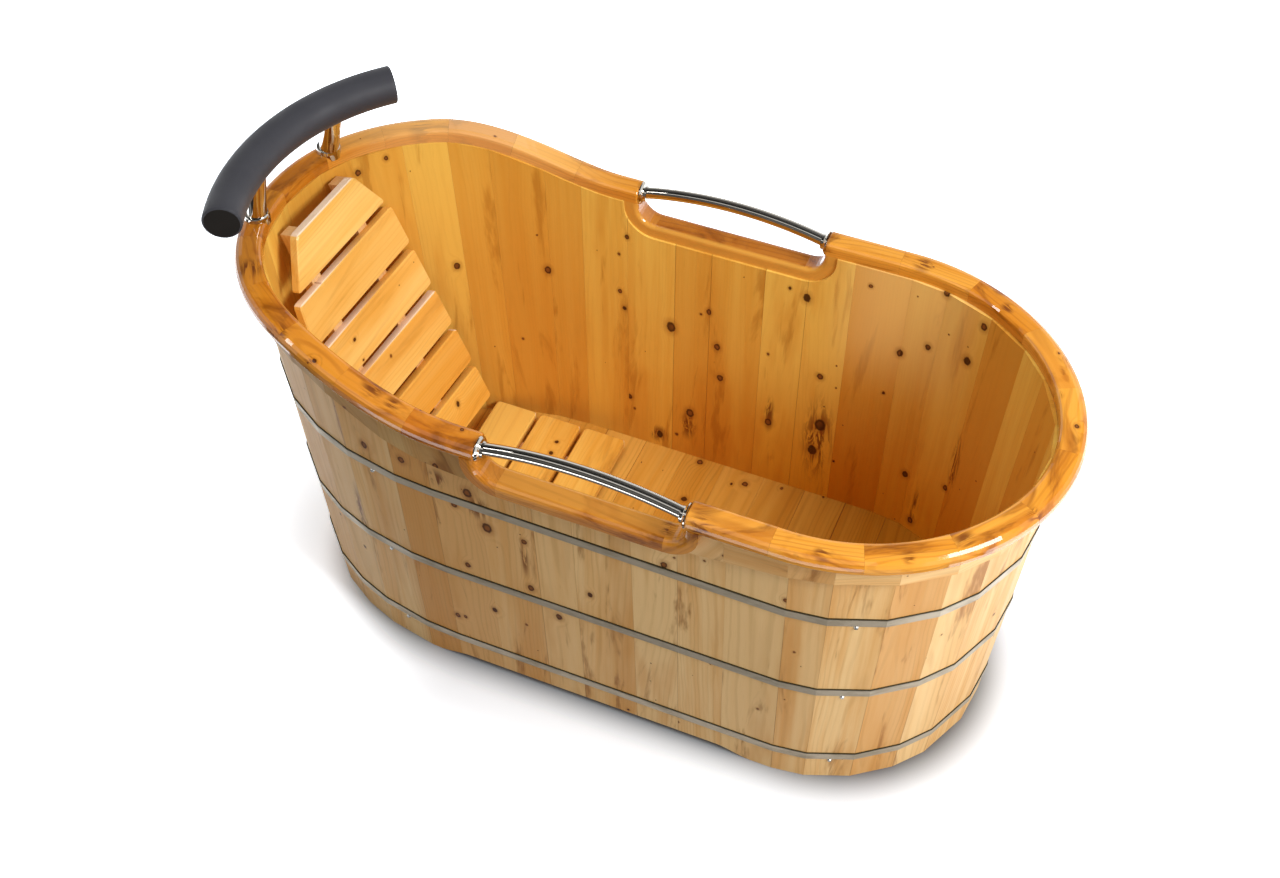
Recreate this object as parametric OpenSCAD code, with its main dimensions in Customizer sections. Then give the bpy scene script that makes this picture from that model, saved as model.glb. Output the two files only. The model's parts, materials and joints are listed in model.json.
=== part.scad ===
// Wooden bathtub built like a cooper's tub: leaning staves, three steel hoops, a glued rim with
// hand-grip notches and chrome bars, a foam headrest, a slatted backrest and a slatted seat.
// Millimetres. +X points to the foot end, +Y to the far side, +Z up. The floor is z = 0.

/* [Tub] */
// length over the rim
tub_length = 1500; // [1350:10:1650]
// width over the rim
tub_width = 725; // [680:5:780]
// height of the rim at the foot end
foot_height = 716; // [680:2:760]
// how much higher the rim is at the head end
head_rise = 73; // [40:1:90]
// where the rim starts to rise, from the middle towards the head
rise_start = 200; // [200:5:220]
// where the rim has reached its full height, from the head end
rise_inset = 200; // [180:5:240]
// length of the rounded head end
head_end_length = 501; // [480:1:510]
// length of the rounded foot end
foot_end_length = 384; // [360:1:410]
// fullness of the head end, 2 is an ellipse
head_fullness = 2.19; // [2:0.01:2.4]
// fullness of the foot end, 2 is an ellipse
foot_fullness = 1.95; // [1.9:0.01:2.2]
// outward lean of the side staves for each millimetre of height
side_lean = 0.025; // [0.01:0.005:0.04]
// outward lean of the end staves for each millimetre of height
end_lean = 0.058; // [0.04:0.001:0.07]

/* [Staves] */
// staves on one side, from the middle of the head to the middle of the foot
stave_pairs = 20; // [18:1:22]
// thickness of a stave
stave_thickness = 20; // [18:1:24]
// how unevenly wide the staves are
width_variation = 0.2; // [0:0.05:0.25]
// depth of the groove that holds the floor
croze_depth = 6; // [4:1:8]
// how far the bottom is cut up between the feet
arch_rise = 15; // [8:1:18]
// head-side start of that cut, from the head end
arch_head_inset = 430; // [410:5:450]
// foot-side start of that cut, from the foot end
arch_foot_inset = 419; // [405:1:440]
// length of the curve at both ends of the cut
arch_run = 70; // [50:5:90]

/* [Rim] */
// width of the rim
rim_width = 48; // [44:1:54]
// thickness of the rim
rim_thickness = 26; // [24:1:30]
// rounding of the outer edge of the rim
rim_round_outer = 16; // [12:1:18]
// rounding of the inner edge of the rim and of the notch
rim_round_inner = 8; // [6:1:9]
// how far the rim stands out past the staves
rim_overhang = 30; // [28:1:34]
// glued pieces in half of the head part of the rim
rim_head_count = 6; // [4:1:7]
// glued pieces in half of the foot part of the rim
rim_foot_count = 5; // [3:1:6]
// head-side end of the hand-grip notch, from the middle
notch_head = 155; // [140:1:165]
// foot-side end of the hand-grip notch, from the middle
notch_foot = 209; // [190:1:225]
// depth of the notch below the rim
notch_depth = 72; // [66:1:78]
// radius of the lower corners of the notch
notch_corner = 35; // [28:1:36]
// thickness of the apron boards below the rim
apron_thickness = 13; // [8:1:14]
// height of the apron at the ends of the tub
apron_height = 52; // [46:1:60]
// how far the apron reaches below the rim under the notch
apron_dip = 108; // [104:1:120]

/* [Hoops] */
// height of the bottom hoop above the floor
hoop_bottom_level = 75; // [70:1:90]
// height of the middle hoop above the floor
hoop_middle_level = 297; // [280:1:310]
// height of the top hoop above the floor
hoop_top_level = 520; // [505:1:530]
// height of a hoop band
hoop_band = 20; // [16:1:24]
// thickness of a hoop band
hoop_gauge = 2; // [1.5:0.1:2.5]
// rise of the top hoop towards the head, for each millimetre of length
hoop_slope = 0.012; // [0:0.001:0.014]
// head diameter of the hoop screws
hoop_screw_head = 9; // [7:0.5:10]

/* [Floor and drain] */
// height of the floor inside
floor_level = 50; // [48:1:54]
// thickness of the floor boards
floor_thickness = 22; // [20:1:24]
// number of floor boards
floor_board_count = 15; // [13:1:17]
// diameter of the drain flange
drain_flange_diameter = 70; // [64:1:76]
// outer diameter of the drain tailpiece
drain_tail_diameter = 40; // [38:1:42]
// outer diameter of its outlet, which takes the hose
drain_outlet_diameter = 38; // [36:0.5:38]

/* [Grab bars] */
// diameter of a grab bar
bar_diameter = 22; // [19:0.5:25]
// height of the bar ends below the rim
bar_drop = 17; // [16:1:20]
// rise of the bar in its middle
bar_rise = 24; // [15:1:32]
// diameter of the round flange at a bar end
flange_diameter = 44; // [38:1:45]

/* [Headrest] */
// diameter of the foam roll
roll_diameter = 67; // [60:1:80]
// half of the straight distance between the roll ends
roll_half_chord = 220; // [180:1:230]
// how far the roll is bowed
roll_bow = 71; // [60:1:85]
// distance of the roll's middle from the head end
roll_inset = 65; // [50:1:75]
// how far the roll is turned, so that its far end stands forward, in degrees
roll_turn = 10.8; // [0:0.2:12]
// height of the roll's axis above the rim
roll_height = 132; // [115:1:140]
// diameter of the chrome posts
post_diameter = 36; // [30:1:38]
// half of the distance between the feet of the posts
post_half_spacing = 104; // [90:1:115]
// how far the posts are set off the middle, towards the far side
post_shift = 33; // [-10:1:40]

/* [Backrest and seat] */
// how far the upper edge of the backrest lies below the head end of the rim
backrest_drop = 31; // [20:1:45]
// backward lean of the backrest for each millimetre of height
backrest_lean = 0.26; // [0.24:0.005:0.265]
// how far the backrest is turned, so that its far end stands forward, in degrees
backrest_turn = 3.9; // [0:0.1:4.5]
// how far the backrest is set off the middle, towards the far side
backrest_shift = 16; // [0:1:18]
// distance of the backrest's lower edge from the head end
backrest_inset = 275; // [273:1:278]
// height of that edge above the seat
backrest_clear = 48; // [44:1:60]
// number of backrest slats
backrest_count = 6; // [5:1:7]
// gap between two backrest slats
slat_gap = 19; // [12:1:22]
// thickness of a slat
slat_thickness = 17; // [15:1:20]
// how much narrower than the tub the backrest is on each side, at its top edge
top_narrowing = 272.5; // [268:0.5:282]
// the same at the lower corners of the top slat
shoulder_narrowing = 210.5; // [206:0.5:222]
// the same at the lower edge
foot_narrowing = 149.5; // [140:0.5:160]
// width of a batten
batten_width = 26; // [24:1:32]
// depth of a backrest batten
batten_depth = 24; // [22:1:27]
// half of the distance between the backrest battens
batten_half_spacing = 76; // [70:1:84]
// direction in which the backrest is lifted out, from upright towards the foot, in degrees
lift_angle = 25; // [24:0.5:26]
// how far the seat's back edge lies forward of the backrest's lower edge
seat_clearance = 10; // [8:1:14]
// depth of the seat from back to front
seat_depth = 299; // [270:1:310]
// how much narrower than the tub the seat is on each side
seat_narrowing = 103.5; // [102:0.5:122]
// number of seat slats
seat_count = 3; // [3:1:4]
// gap between two seat slats
seat_gap = 10; // [8:1:14]
// height of the battens under the seat
seat_batten_height = 13; // [10:1:16]

/* [Shown part] */
// which part is drawn

/* [Hidden] */
head_height = foot_height + head_rise;
backrest_top = head_height - backrest_drop;
rim_half = rim_width / 2;
half_length = tub_length / 2;
half_width = tub_width / 2;
straight_head = half_length - head_end_length;
straight_foot = half_length - foot_end_length;
rise_end = half_length - rise_inset;
arch_head = half_length - arch_head_inset;
arch_foot = half_length - arch_foot_inset;
hoop_levels = [hoop_bottom_level, hoop_middle_level, hoop_top_level];
roll_reach = half_length - roll_inset;
backrest_foot = half_length - backrest_inset;
backrest_half_top = half_width - top_narrowing;
backrest_half_shoulder = half_width - shoulder_narrowing;
backrest_half_foot = half_width - foot_narrowing;
seat_back = backrest_foot - seat_clearance;
seat_front = seat_back - seat_depth;
seat_half_length = half_width - seat_narrowing;
glue_gap = 0.2;
bed_gap = 0.3;
slip_gap = 0.3;
seam_gap = 0.3;
overcut = 40;
quarter = 90;
straight_span = 90;
half_turn = 2 * quarter + straight_span;
notch_floor = foot_height - notch_depth;
bar_level = foot_height - bar_drop;
floor_bottom = floor_level - floor_thickness;
wood_pale = "#d8b07a";
wood_amber = "#e0963c";
steel_grey = "#9a978e";
chrome_grey = "#c8ccd0";
foam_black = "#26272a";
rubber_black = "#202020";

function stave_name(i) = str("stave_pair_", i < 10 ? "0" : "", i);

// Plan outline. The turn t runs from the middle of the head (0) along the far side to the
// middle of the foot (270). The straight side lies between 90 and 180.
function signed_power(v, p) = sign(v) * pow(abs(v), p);
function outline(t, inset) =
  t < quarter ? [
    -straight_head - (half_length - inset - straight_head) * signed_power(cos(t), 2 / head_fullness),
    (half_width - inset) * signed_power(sin(t), 2 / head_fullness)
  ] : t < 2 * quarter ? [
    -straight_head + (straight_head + straight_foot) * (t - quarter) / straight_span,
    half_width - inset
  ] : [
    straight_foot + (half_length - inset - straight_foot)
      * signed_power(sin(t - 2 * quarter), 2 / foot_fullness),
    (half_width - inset) * signed_power(cos(t - 2 * quarter), 2 / foot_fullness)
  ];
function straight_turn(x) = quarter + straight_span * (x + straight_head) / (straight_head + straight_foot);

// Lengths along the outline, used to space staves and rim pieces.
outline_step = 1.5;
run_table = [for (t = 0, s = 0; t <= half_turn;
  s = s + norm(outline(t + outline_step, rim_overhang) - outline(t, rim_overhang)),
  t = t + outline_step) [s, t]];
turn_table = [for (r = run_table) [r[1], r[0]]];
half_run = run_table[len(run_table) - 1][0];
function turn_at(run) = lookup(run, run_table);
function run_at(turn) = lookup(turn, turn_table);

// Staves have slightly different widths, all of them planned from one wave.
wave_turn = 137;
function share(i) = 1 + width_variation * sin(i * wave_turn);
share_sums = [for (i = 0, s = 0; i <= stave_pairs; s = s + share(i + 1), i = i + 1) s];
function seam_turn(i) = i == 0 ? 0 : i == stave_pairs ? half_turn
  : turn_at(half_run * share_sums[i] / share_sums[stave_pairs]);

// Corners of the stave polygon at rim height. Index 0 is the middle of the head and the far
// side comes first. The near side mirrors it.
function corner(i) = i < 0 ? mirrored(corner(-i)) : i > stave_pairs
  ? mirrored(corner(2 * stave_pairs - i)) : outline(seam_turn(i), rim_overhang);
function mirrored(p) = [p[0], -p[1]];
function unit(v) = v / norm(v);
function face_normal(i) = let (d = unit(corner(i + 1) - corner(i))) [-d[1], d[0]];
function face_lean(i) = side_lean + (end_lean - side_lean) * pow(face_normal(i)[0], 2);
function face_offset(i, z, out) =
  face_normal(i) * corner(i) - face_lean(i) * (foot_height - z) + out;

// Where two neighbouring stave faces, moved outwards by out, meet at height z.
parallel_limit = 0.0001;
function seam(i, z, out) =
  let (
    n0 = face_normal(i - 1),
    n1 = face_normal(i),
    c0 = face_offset(i - 1, z, out),
    c1 = face_offset(i, z, out),
    spread = n0[0] * n1[1] - n0[1] * n1[0]
  )
  abs(spread) < parallel_limit
    ? corner(i) + n1 * (c1 - n1 * corner(i))
    : [(c0 * n1[1] - c1 * n0[1]) / spread, (n0[0] * c1 - n1[0] * c0) / spread];
function seam_point(i, z, out) = concat(seam(i, z, out), [z]);

// Rim height and rim frame.
function smooth(v) = let (u = max(0, min(1, v))) u * u * (3 - 2 * u);
function rim_level(x) = foot_height + head_rise * smooth((-x - rise_start) / (rise_end - rise_start));
function rim_point(t) = let (p = outline(t, rim_half)) [p[0], p[1], rim_level(p[0])];
turn_step = 1;
function rim_along(t) = unit(rim_point(t + turn_step) - rim_point(t - turn_step));
function rim_out(t) = let (a = rim_along(t)) unit([-a[1], a[0], 0]);
function rim_up(t) = cross(rim_along(t), rim_out(t));
function rim_place(t, p) = rim_point(t) + rim_out(t) * p[0] + rim_up(t) * p[1];

// Cross-section of the rim, made smaller by inset at the rounded ends. Bottom stays flat.
low_round = 4;
function arc_points(c, r, from, to, steps) =
  [for (k = [0 : steps]) let (a = from + (to - from) * k / steps) c + r * [cos(a), sin(a)]];
function rim_profile(inset) =
  let (
    w = rim_half - inset,
    ro = max(rim_round_outer - inset, rim_round_inner / 2),
    ri = max(rim_round_inner - inset, rim_round_inner / 8)
  )
  concat(
    [[-w, -rim_thickness]],
    arc_points([w - low_round, -rim_thickness + low_round], low_round, -quarter, 0, 2),
    arc_points([w - ro, -inset - ro], ro, 0, quarter, 4),
    arc_points([-w + ri, -inset - ri], ri, quarter, 2 * quarter, 3)
  );

// Solid between cross-sections that all have the same number of points.
module skin(sections) {
  rows = len(sections);
  count = len(sections[0]);
  points = [for (s = sections) each s];
  sides = [for (k = [0 : rows - 2], j = [0 : count - 1])
    [k * count + j, (k + 1) * count + j,
      (k + 1) * count + (j + 1) % count, k * count + (j + 1) % count]];
  start = [for (j = [0 : count - 1]) j];
  finish = [for (j = [count - 1 : -1 : 0]) (rows - 1) * count + j];
  polyhedron(points = points, faces = concat([start], sides, [finish]), convexity = 6);
}

module both_sides() {
  children();
  mirror([0, 1, 0]) children();
}

module both_hands() {
  children();
  mirror([1, 0, 0]) children();
}

// Countersunk wood screw that points up, with its head at the origin.
screw_shank = 4;
screw_head = 8;
screw_cone = 3;
module wood_screw(length) {
  cylinder(d1 = screw_head, d2 = screw_shank, h = screw_cone, $fn = 24);
  cylinder(d = screw_shank, h = length, $fn = 24);
}

// Board that follows stave face i, from height low to high, between two offsets.
module face_board(i, low, high, inner, outer) {
  shift = concat(unit(corner(i + 1) - corner(i)), [0]) * glue_gap / 2;
  skin([for (z = [low, high]) [
    seam_point(i, z, inner) + shift,
    seam_point(i + 1, z, inner) - shift,
    seam_point(i + 1, z, outer) - shift,
    seam_point(i, z, outer) + shift
  ]]);
}

// Everything above the underside of the rim, near the faces from turn t0 to t1. The underside
// is twisted, so it is made of flat triangles.
cut_margin = 3;
cut_steps = 5;
module above_rim_underside(t0, t1) {
  from = t0 - cut_margin;
  span = t1 - t0 + 2 * cut_margin;
  rows = [for (k = [0 : cut_steps]) let (
      t = from + span * k / cut_steps,
      side = rim_out(t) * overcut,
      low = rim_point(t) - rim_up(t) * (rim_thickness + bed_gap),
      top = [0, 0, head_height + overcut - low[2]]
    ) [low - side, low + side, low + side + top, low - side + top]];
  below = [for (k = [0 : cut_steps - 1]) each [
    [4 * k, 4 * k + 4, 4 * k + 5],
    [4 * k, 4 * k + 5, 4 * k + 1]
  ]];
  around = [for (k = [0 : cut_steps - 1], j = [1 : 3])
    [4 * k + j, 4 * k + 4 + j, 4 * k + 4 + (j + 1) % 4, 4 * k + (j + 1) % 4]];
  last = 4 * cut_steps;
  polyhedron(
    points = [for (row = rows) each row],
    faces = concat([[0, 1, 2, 3]], below, around, [[last + 3, last + 2, last + 1, last]]),
    convexity = 6
  );
}

// The notch as seen from the side, grown by a given amount.
module notch_shape(grow) {
  r = notch_corner + grow;
  head = -notch_head - grow;
  foot = notch_foot + grow;
  low = notch_floor - grow;
  polygon(concat(
    arc_points([head + r, low + r], r, 2 * quarter, 3 * quarter, 8),
    arc_points([foot - r, low + r], r, 3 * quarter, 4 * quarter, 8),
    [[foot, head_height + overcut], [head, head_height + overcut]]
  ));
}

module notch_cut(grow) {
  translate([0, half_width + overcut, 0]) rotate([quarter, 0, 0])
    linear_extrude(height = tub_width + 2 * overcut) notch_shape(grow);
}

// Space under the long sides, between the feet.
arch_steps = 8;
module arch_cut() {
  head_curve = [for (k = [0 : arch_steps])
    [-arch_head + arch_run * k / arch_steps, arch_rise * smooth(k / arch_steps)]];
  foot_curve = [for (k = [arch_steps : -1 : 0])
    [arch_foot - arch_run * k / arch_steps, arch_rise * smooth(k / arch_steps)]];
  translate([0, half_width, 0]) rotate([quarter, 0, 0]) linear_extrude(height = tub_width)
    polygon(concat([[-arch_head, -overcut]], head_curve, foot_curve, [[arch_foot, -overcut]]));
}

// Plan of the floor, with its edge moved out from the inner stave faces.
module floor_plan(out) {
  polygon([for (i = [0 : 2 * stave_pairs - 1])
    seam(i, floor_bottom + floor_thickness / 2, out - stave_thickness)]);
}

module floor_plate(out) {
  translate([0, 0, floor_bottom]) linear_extrude(height = floor_thickness) floor_plan(out);
}

// Groove for the floor in one stave, square to its face.
module croze_cut(i) {
  middle = floor_bottom + floor_thickness / 2;
  n = face_normal(i);
  p = (seam(i, middle, 0) + seam(i + 1, middle, 0)) / 2;
  depth = stave_thickness - croze_depth - slip_gap;
  width = norm(corner(i + 1) - corner(i)) + overcut;
  translate([p[0], p[1], middle]) rotate([0, 0, atan2(n[1], n[0])])
    translate([-depth - overcut, -width / 2, -floor_thickness / 2 - slip_gap])
      cube([overcut, width, floor_thickness + 2 * slip_gap]);
}

// Hoop screws sit just under each hoop, on the stave faces nearest to these stations.
screw_head_inset = 320;
screw_foot_inset = 280;
screw_stations = [screw_head_inset - half_length, half_length - screw_foot_inset];
screw_length = 14;
screw_head_height = 3;
screw_head_taper = 3;
function face_middle(i, z) = (seam(i, z, 0) + seam(i + 1, z, 0)) / 2;
function nearest_face(x) =
  let (gaps = [for (i = [0 : stave_pairs - 1]) abs(face_middle(i, hoop_levels[1])[0] - x)])
  search(min(gaps), gaps)[0];
screw_faces = [for (x = screw_stations) nearest_face(x)];
function hoop_level(k, x) = hoop_levels[k] - (k == 2 ? hoop_slope * x : 0);
function screw_level(k, i) =
  hoop_level(k, face_middle(i, hoop_levels[k])[0]) - hoop_band / 2 - hoop_screw_head / 2 - 1;

module on_face(i, z) {
  n = face_normal(i);
  translate(concat(face_middle(i, z), [z])) rotate([0, 0, atan2(n[1], n[0])])
    rotate([0, quarter + atan(face_lean(i)), 0]) children();
}

module hoop_screw_holes(i) {
  for (k = [0 : 2])
    on_face(i, screw_level(k, i)) translate([0, 0, -screw_length])
      cylinder(d = screw_shank, h = screw_length + 1, $fn = 24);
}

module stave(i) {
  difference() {
    face_board(i, 0, head_height + overcut / 2, -stave_thickness, 0);
    above_rim_underside(seam_turn(i), seam_turn(i + 1));
    notch_cut(rim_thickness + glue_gap);
    croze_cut(i);
    arch_cut();
    if (len(search(i, screw_faces)) > 0) hoop_screw_holes(i);
  }
}

module stave_pair(number) {
  color(wood_pale) both_sides() stave(number - 1);
}

// Lower edge of the apron: level with the rim at the ends, deeper under the notch.
dip_flat = 120;
dip_head_inset = 230;
dip_foot_inset = 250;
dip_reach_head = half_length - dip_head_inset;
dip_reach_foot = half_length - dip_foot_inset;
dip_middle = (notch_foot - notch_head) / 2;
function apron_low(x) =
  let (
    edge = rim_level(x) - rim_thickness - apron_height,
    deep = foot_height - apron_dip,
    rise = x < dip_middle
      ? smooth((dip_middle - dip_flat - x) / (dip_reach_head + dip_middle - dip_flat))
      : smooth((x - dip_middle - dip_flat) / (dip_reach_foot - dip_middle - dip_flat))
  )
  deep + (edge - deep) * rise;

apron_pitch = 25;
module below_apron() {
  reach = half_length + overcut;
  steps = floor(2 * reach / apron_pitch);
  curve = [for (k = [0 : steps]) let (x = reach - 2 * reach * k / steps) [x, apron_low(x)]];
  translate([0, half_width + overcut, 0]) rotate([quarter, 0, 0])
    linear_extrude(height = tub_width + 2 * overcut)
      polygon(concat([[-reach, 0], [reach, 0]], curve));
}

module apron_board(i) {
  difference() {
    face_board(i, foot_height - apron_dip - overcut / 2, head_height + overcut / 2,
      0, apron_thickness);
    above_rim_underside(seam_turn(i), seam_turn(i + 1));
    notch_cut(rim_thickness + glue_gap);
    below_apron();
  }
}

module apron_boards() {
  color(wood_pale) both_sides() for (i = [0 : stave_pairs - 1]) apron_board(i);
}

// Rim pieces. Those that end at a notch have a rounded end.
rim_steps = 8;
end_steps = 4;
end_round = 4;
rim_head_run = run_at(straight_turn(-notch_head));
rim_foot_run = run_at(straight_turn(notch_foot));
function rim_section(run, inset) = [for (p = rim_profile(inset)) rim_place(turn_at(run), p)];
function rounded_end(run, way) = [for (k = [0 : end_steps]) let (a = quarter * k / end_steps)
  rim_section(run + way * end_round * (1 - sin(a)), end_round * (1 - cos(a)))];
function plain_run(from, to) =
  [for (k = [0 : rim_steps]) rim_section(from + (to - from) * k / rim_steps, 0)];
function reversed(list) = [for (k = [len(list) - 1 : -1 : 0]) list[k]];

module rim_head_piece(k) {
  last = k == rim_head_count - 1;
  from = rim_head_run * k / rim_head_count + glue_gap / 2;
  to = rim_head_run * (k + 1) / rim_head_count - (last ? 0 : glue_gap / 2);
  skin(concat(
    plain_run(from, last ? to - 2 * end_round : to),
    last ? rounded_end(to, -1) : []
  ));
}

module rim_foot_piece(k) {
  span = half_run - rim_foot_run;
  first = k == 0;
  from = rim_foot_run + span * k / rim_foot_count + (first ? 0 : glue_gap / 2);
  to = rim_foot_run + span * (k + 1) / rim_foot_count - glue_gap / 2;
  skin(concat(
    first ? reversed(rounded_end(from, 1)) : [],
    plain_run(first ? from + 2 * end_round : from, to)
  ));
}

module rim_head() {
  color(wood_amber) difference() {
    both_sides() for (k = [0 : rim_head_count - 1]) rim_head_piece(k);
    rest_stud_holes();
    grab_stud_holes();
  }
}

module rim_foot() {
  color(wood_amber) difference() {
    both_sides() for (k = [0 : rim_foot_count - 1]) rim_foot_piece(k);
    grab_stud_holes();
  }
}

// Lining of the notch: a sill and two corner pieces that carry the bar flanges.
lining_round = 12;
function lining_profile() =
  let (ro = lining_round, ri = rim_round_inner)
  concat(
    [[-rim_half, -rim_thickness], [rim_half, -rim_thickness]],
    arc_points([rim_half - ro, -ro], ro, 0, quarter, 4),
    arc_points([-rim_half + ri, -ri], ri, quarter, 2 * quarter, 4)
  );
function lining_section(x, z, angle) = [for (p = lining_profile())
  [x + cos(angle) * p[1], half_width - rim_half + p[0], z + sin(angle) * p[1]]];

module notch_sills() {
  color(wood_amber) both_sides()
    skin([for (x = [-notch_head + notch_corner, notch_foot - notch_corner])
      lining_section(x, notch_floor, quarter)]);
}

corner_steps = 8;
module corner_piece(x, way) {
  centre = x + way * notch_corner;
  angles = [for (k = [0 : corner_steps]) quarter * k / corner_steps];
  arc = [for (a = angles) lining_section(
    centre - way * notch_corner * cos(a),
    notch_floor + notch_corner - notch_corner * sin(a),
    way > 0 ? a : 2 * quarter - a
  )];
  top = [lining_section(x, foot_height - rim_thickness, way > 0 ? 0 : 2 * quarter)];
  skin(way > 0 ? concat(top, arc) : reversed(concat(top, arc)));
}

module notch_corners() {
  color(wood_amber) both_sides() {
    corner_piece(-notch_head, 1);
    corner_piece(notch_foot, -1);
  }
}

module hoop(k) {
  points = [for (i = [0 : 2 * stave_pairs - 1]) for (corner = [
      [0, -hoop_band / 2], [hoop_gauge, -hoop_band / 2], [hoop_gauge, hoop_band / 2], [0, hoop_band / 2]])
    seam_point(i, hoop_level(k, seam(i, hoop_levels[k], 0)[0]) + corner[1], corner[0])];
  total = 2 * stave_pairs;
  faces = [for (i = [0 : total - 1], j = [0 : 3])
    [i * 4 + j, ((i + 1) % total) * 4 + j, ((i + 1) % total) * 4 + (j + 1) % 4, i * 4 + (j + 1) % 4]];
  color(steel_grey) polyhedron(points = points, faces = faces, convexity = 6);
}

module hoop_bottom() {
  hoop(0);
}

module hoop_middle() {
  hoop(1);
}

module hoop_top() {
  hoop(2);
}

module hoop_screws() {
  color(steel_grey) both_sides() for (i = screw_faces, k = [0 : 2])
    on_face(i, screw_level(k, i)) {
      translate([0, 0, -screw_length]) cylinder(d = screw_shank, h = screw_length, $fn = 24);
      cylinder(d1 = hoop_screw_head, d2 = hoop_screw_head - screw_head_taper, h = screw_head_height,
        $fn = 24);
    }
}

// Floor boards run across the tub and their ends sit in the groove.
floor_head_end = seam(0, floor_bottom, croze_depth - stave_thickness)[0];
floor_foot_end = seam(stave_pairs, floor_bottom, croze_depth - stave_thickness)[0];
board_pitch = (floor_foot_end - floor_head_end) / floor_board_count;
drain_play = 1;
drain_bore = drain_tail_diameter + drain_play;
drain_board = floor_board_count - 2;
drain_offset = floor_head_end + (drain_board + 0.5) * board_pitch;
floor_batten_width = 50;
floor_batten_height = 20;
floor_batten_inset = 230;
floor_batten_half = half_length - floor_batten_inset;
floor_batten_spacing = 150;
floor_screw_length = floor_batten_height + 0.7 * floor_thickness;
module floor_boards() {
  color(wood_amber) difference() {
    for (k = [0 : floor_board_count - 1]) intersection() {
      floor_plate(croze_depth);
      translate([floor_head_end + k * board_pitch + seam_gap / 2 - (k == 0 ? 1 : 0), -half_width, 0])
        cube([board_pitch - seam_gap + (k == 0 || k == floor_board_count - 1 ? 1 : 0),
          tub_width, floor_level + 1]);
    }
    translate([drain_offset, 0, 0]) cylinder(d = drain_bore, h = floor_level + 1, $fn = 64);
    translate([drain_offset, 0, floor_level - flange_plate])
      cylinder(d = drain_flange_diameter + drain_play, h = flange_plate + 1, $fn = 64);
    floor_screw_shapes();
  }
}

module floor_battens() {
  color(wood_pale) difference() {
    both_sides() translate([-floor_batten_half, floor_batten_spacing - floor_batten_width / 2,
      floor_bottom - floor_batten_height])
      cube([2 * floor_batten_half, floor_batten_width, floor_batten_height]);
    floor_screw_shapes();
  }
}

// Every third board is screwed from below.
module floor_screw_shapes() {
  both_sides() for (k = [2 : 3 : floor_board_count - 2])
    translate([floor_head_end + (k + 0.5) * board_pitch, floor_batten_spacing,
      floor_bottom - floor_batten_height]) wood_screw(floor_screw_length);
}

module floor_screws() {
  color(steel_grey) floor_screw_shapes();
}

// Grab bars. A bar is an arc between the corner pieces of a notch.
bar_half = (notch_head + notch_foot) / 2;
bar_radius = (bar_half * bar_half + bar_rise * bar_rise) / (2 * bar_rise);
bar_middle = (notch_foot - notch_head) / 2;
bar_side = half_width - rim_half;
bar_spread = asin(bar_half / bar_radius) + 3;
flange_height = 5;
flange_neck = 12;
stud_diameter = 8;
stud_in_wood = 18;
stud_in_bar = 25;
module bar_shape(grow) {
  intersection() {
    translate([bar_middle, bar_side, bar_level + bar_rise - bar_radius])
      rotate([quarter, 0, 0]) rotate([0, 0, quarter - bar_spread])
        rotate_extrude(angle = 2 * bar_spread, $fn = 240)
          translate([bar_radius, 0]) circle(d = bar_diameter + grow, $fn = 32);
    translate([-notch_head, bar_side - bar_diameter, 0])
      cube([2 * bar_half, 2 * bar_diameter, head_height]);
  }
}

module at_bar_ends() {
  both_sides() for (way = [-1, 1])
    translate([bar_middle + way * bar_half, bar_side, bar_level]) rotate([0, way * quarter, 0])
      children();
}

module grab_stud_shapes() {
  at_bar_ends() translate([0, 0, -stud_in_bar])
    cylinder(d = stud_diameter, h = stud_in_bar + stud_in_wood, $fn = 32);
}

module grab_stud_holes() {
  at_bar_ends() translate([0, 0, -1])
    cylinder(d = hole_size(stud_diameter), h = stud_in_wood + 2, $fn = hole_sides);
}

module grab_bar_far() {
  color(chrome_grey) difference() {
    bar_shape(0);
    grab_stud_shapes();
  }
}

module grab_bar_near() {
  mirror([0, 1, 0]) grab_bar_far();
}

module grab_studs() {
  color(steel_grey) grab_stud_shapes();
}

module grab_flanges() {
  color(chrome_grey) both_sides() difference() {
    for (way = [-1, 1])
      translate([bar_middle + way * bar_half, bar_side, bar_level]) rotate([0, -way * quarter, 0])
        rotate_extrude($fn = 64) polygon([
          [0, 0],
          [flange_diameter / 2, 0],
          [flange_diameter / 2, flange_height - 3],
          [flange_diameter / 2 - 3, flange_height],
          [bar_diameter / 2 + 4, flange_height + 2],
          [bar_diameter / 2 + 3, flange_neck],
          [0, flange_neck]
        ]);
    bar_shape(2 * glue_gap);
  }
}

// Headrest: foam roll on a bent tube, carried by two leaning posts that stand on the flat
// top of the rim.
post_inset = rim_half + (rim_round_outer - rim_round_inner) / 2;
head_reach = half_length - post_inset - straight_head;
head_half = half_width - post_inset;
function post_foot(y) = [
  -straight_head - head_reach * pow(1 - pow(abs(y) / head_half, head_fullness), 1 / head_fullness),
  y,
  head_height
];
post_feet = [for (way = [-1, 1]) post_foot(post_shift + way * post_half_spacing)];
roll_level = head_height + roll_height;
roll_radius = (roll_half_chord * roll_half_chord + roll_bow * roll_bow) / (2 * roll_bow);
roll_spread = asin(roll_half_chord / roll_radius);
roll_centre = [-roll_reach + roll_radius * cos(roll_turn), -roll_radius * sin(roll_turn), roll_level];
tube_diameter = 25;
tube_end = 2;
post_into_roll = 12;
collar_height = 9;
collar_skirt = 11;
collar_rise = 4;
rest_stud = 10;
rest_stud_in_wood = 20;
function flat_part(v) = [v[0], v[1], 0];
function post_aim(foot) = roll_centre + roll_radius * unit(flat_part(foot - roll_centre)) - foot;
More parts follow.
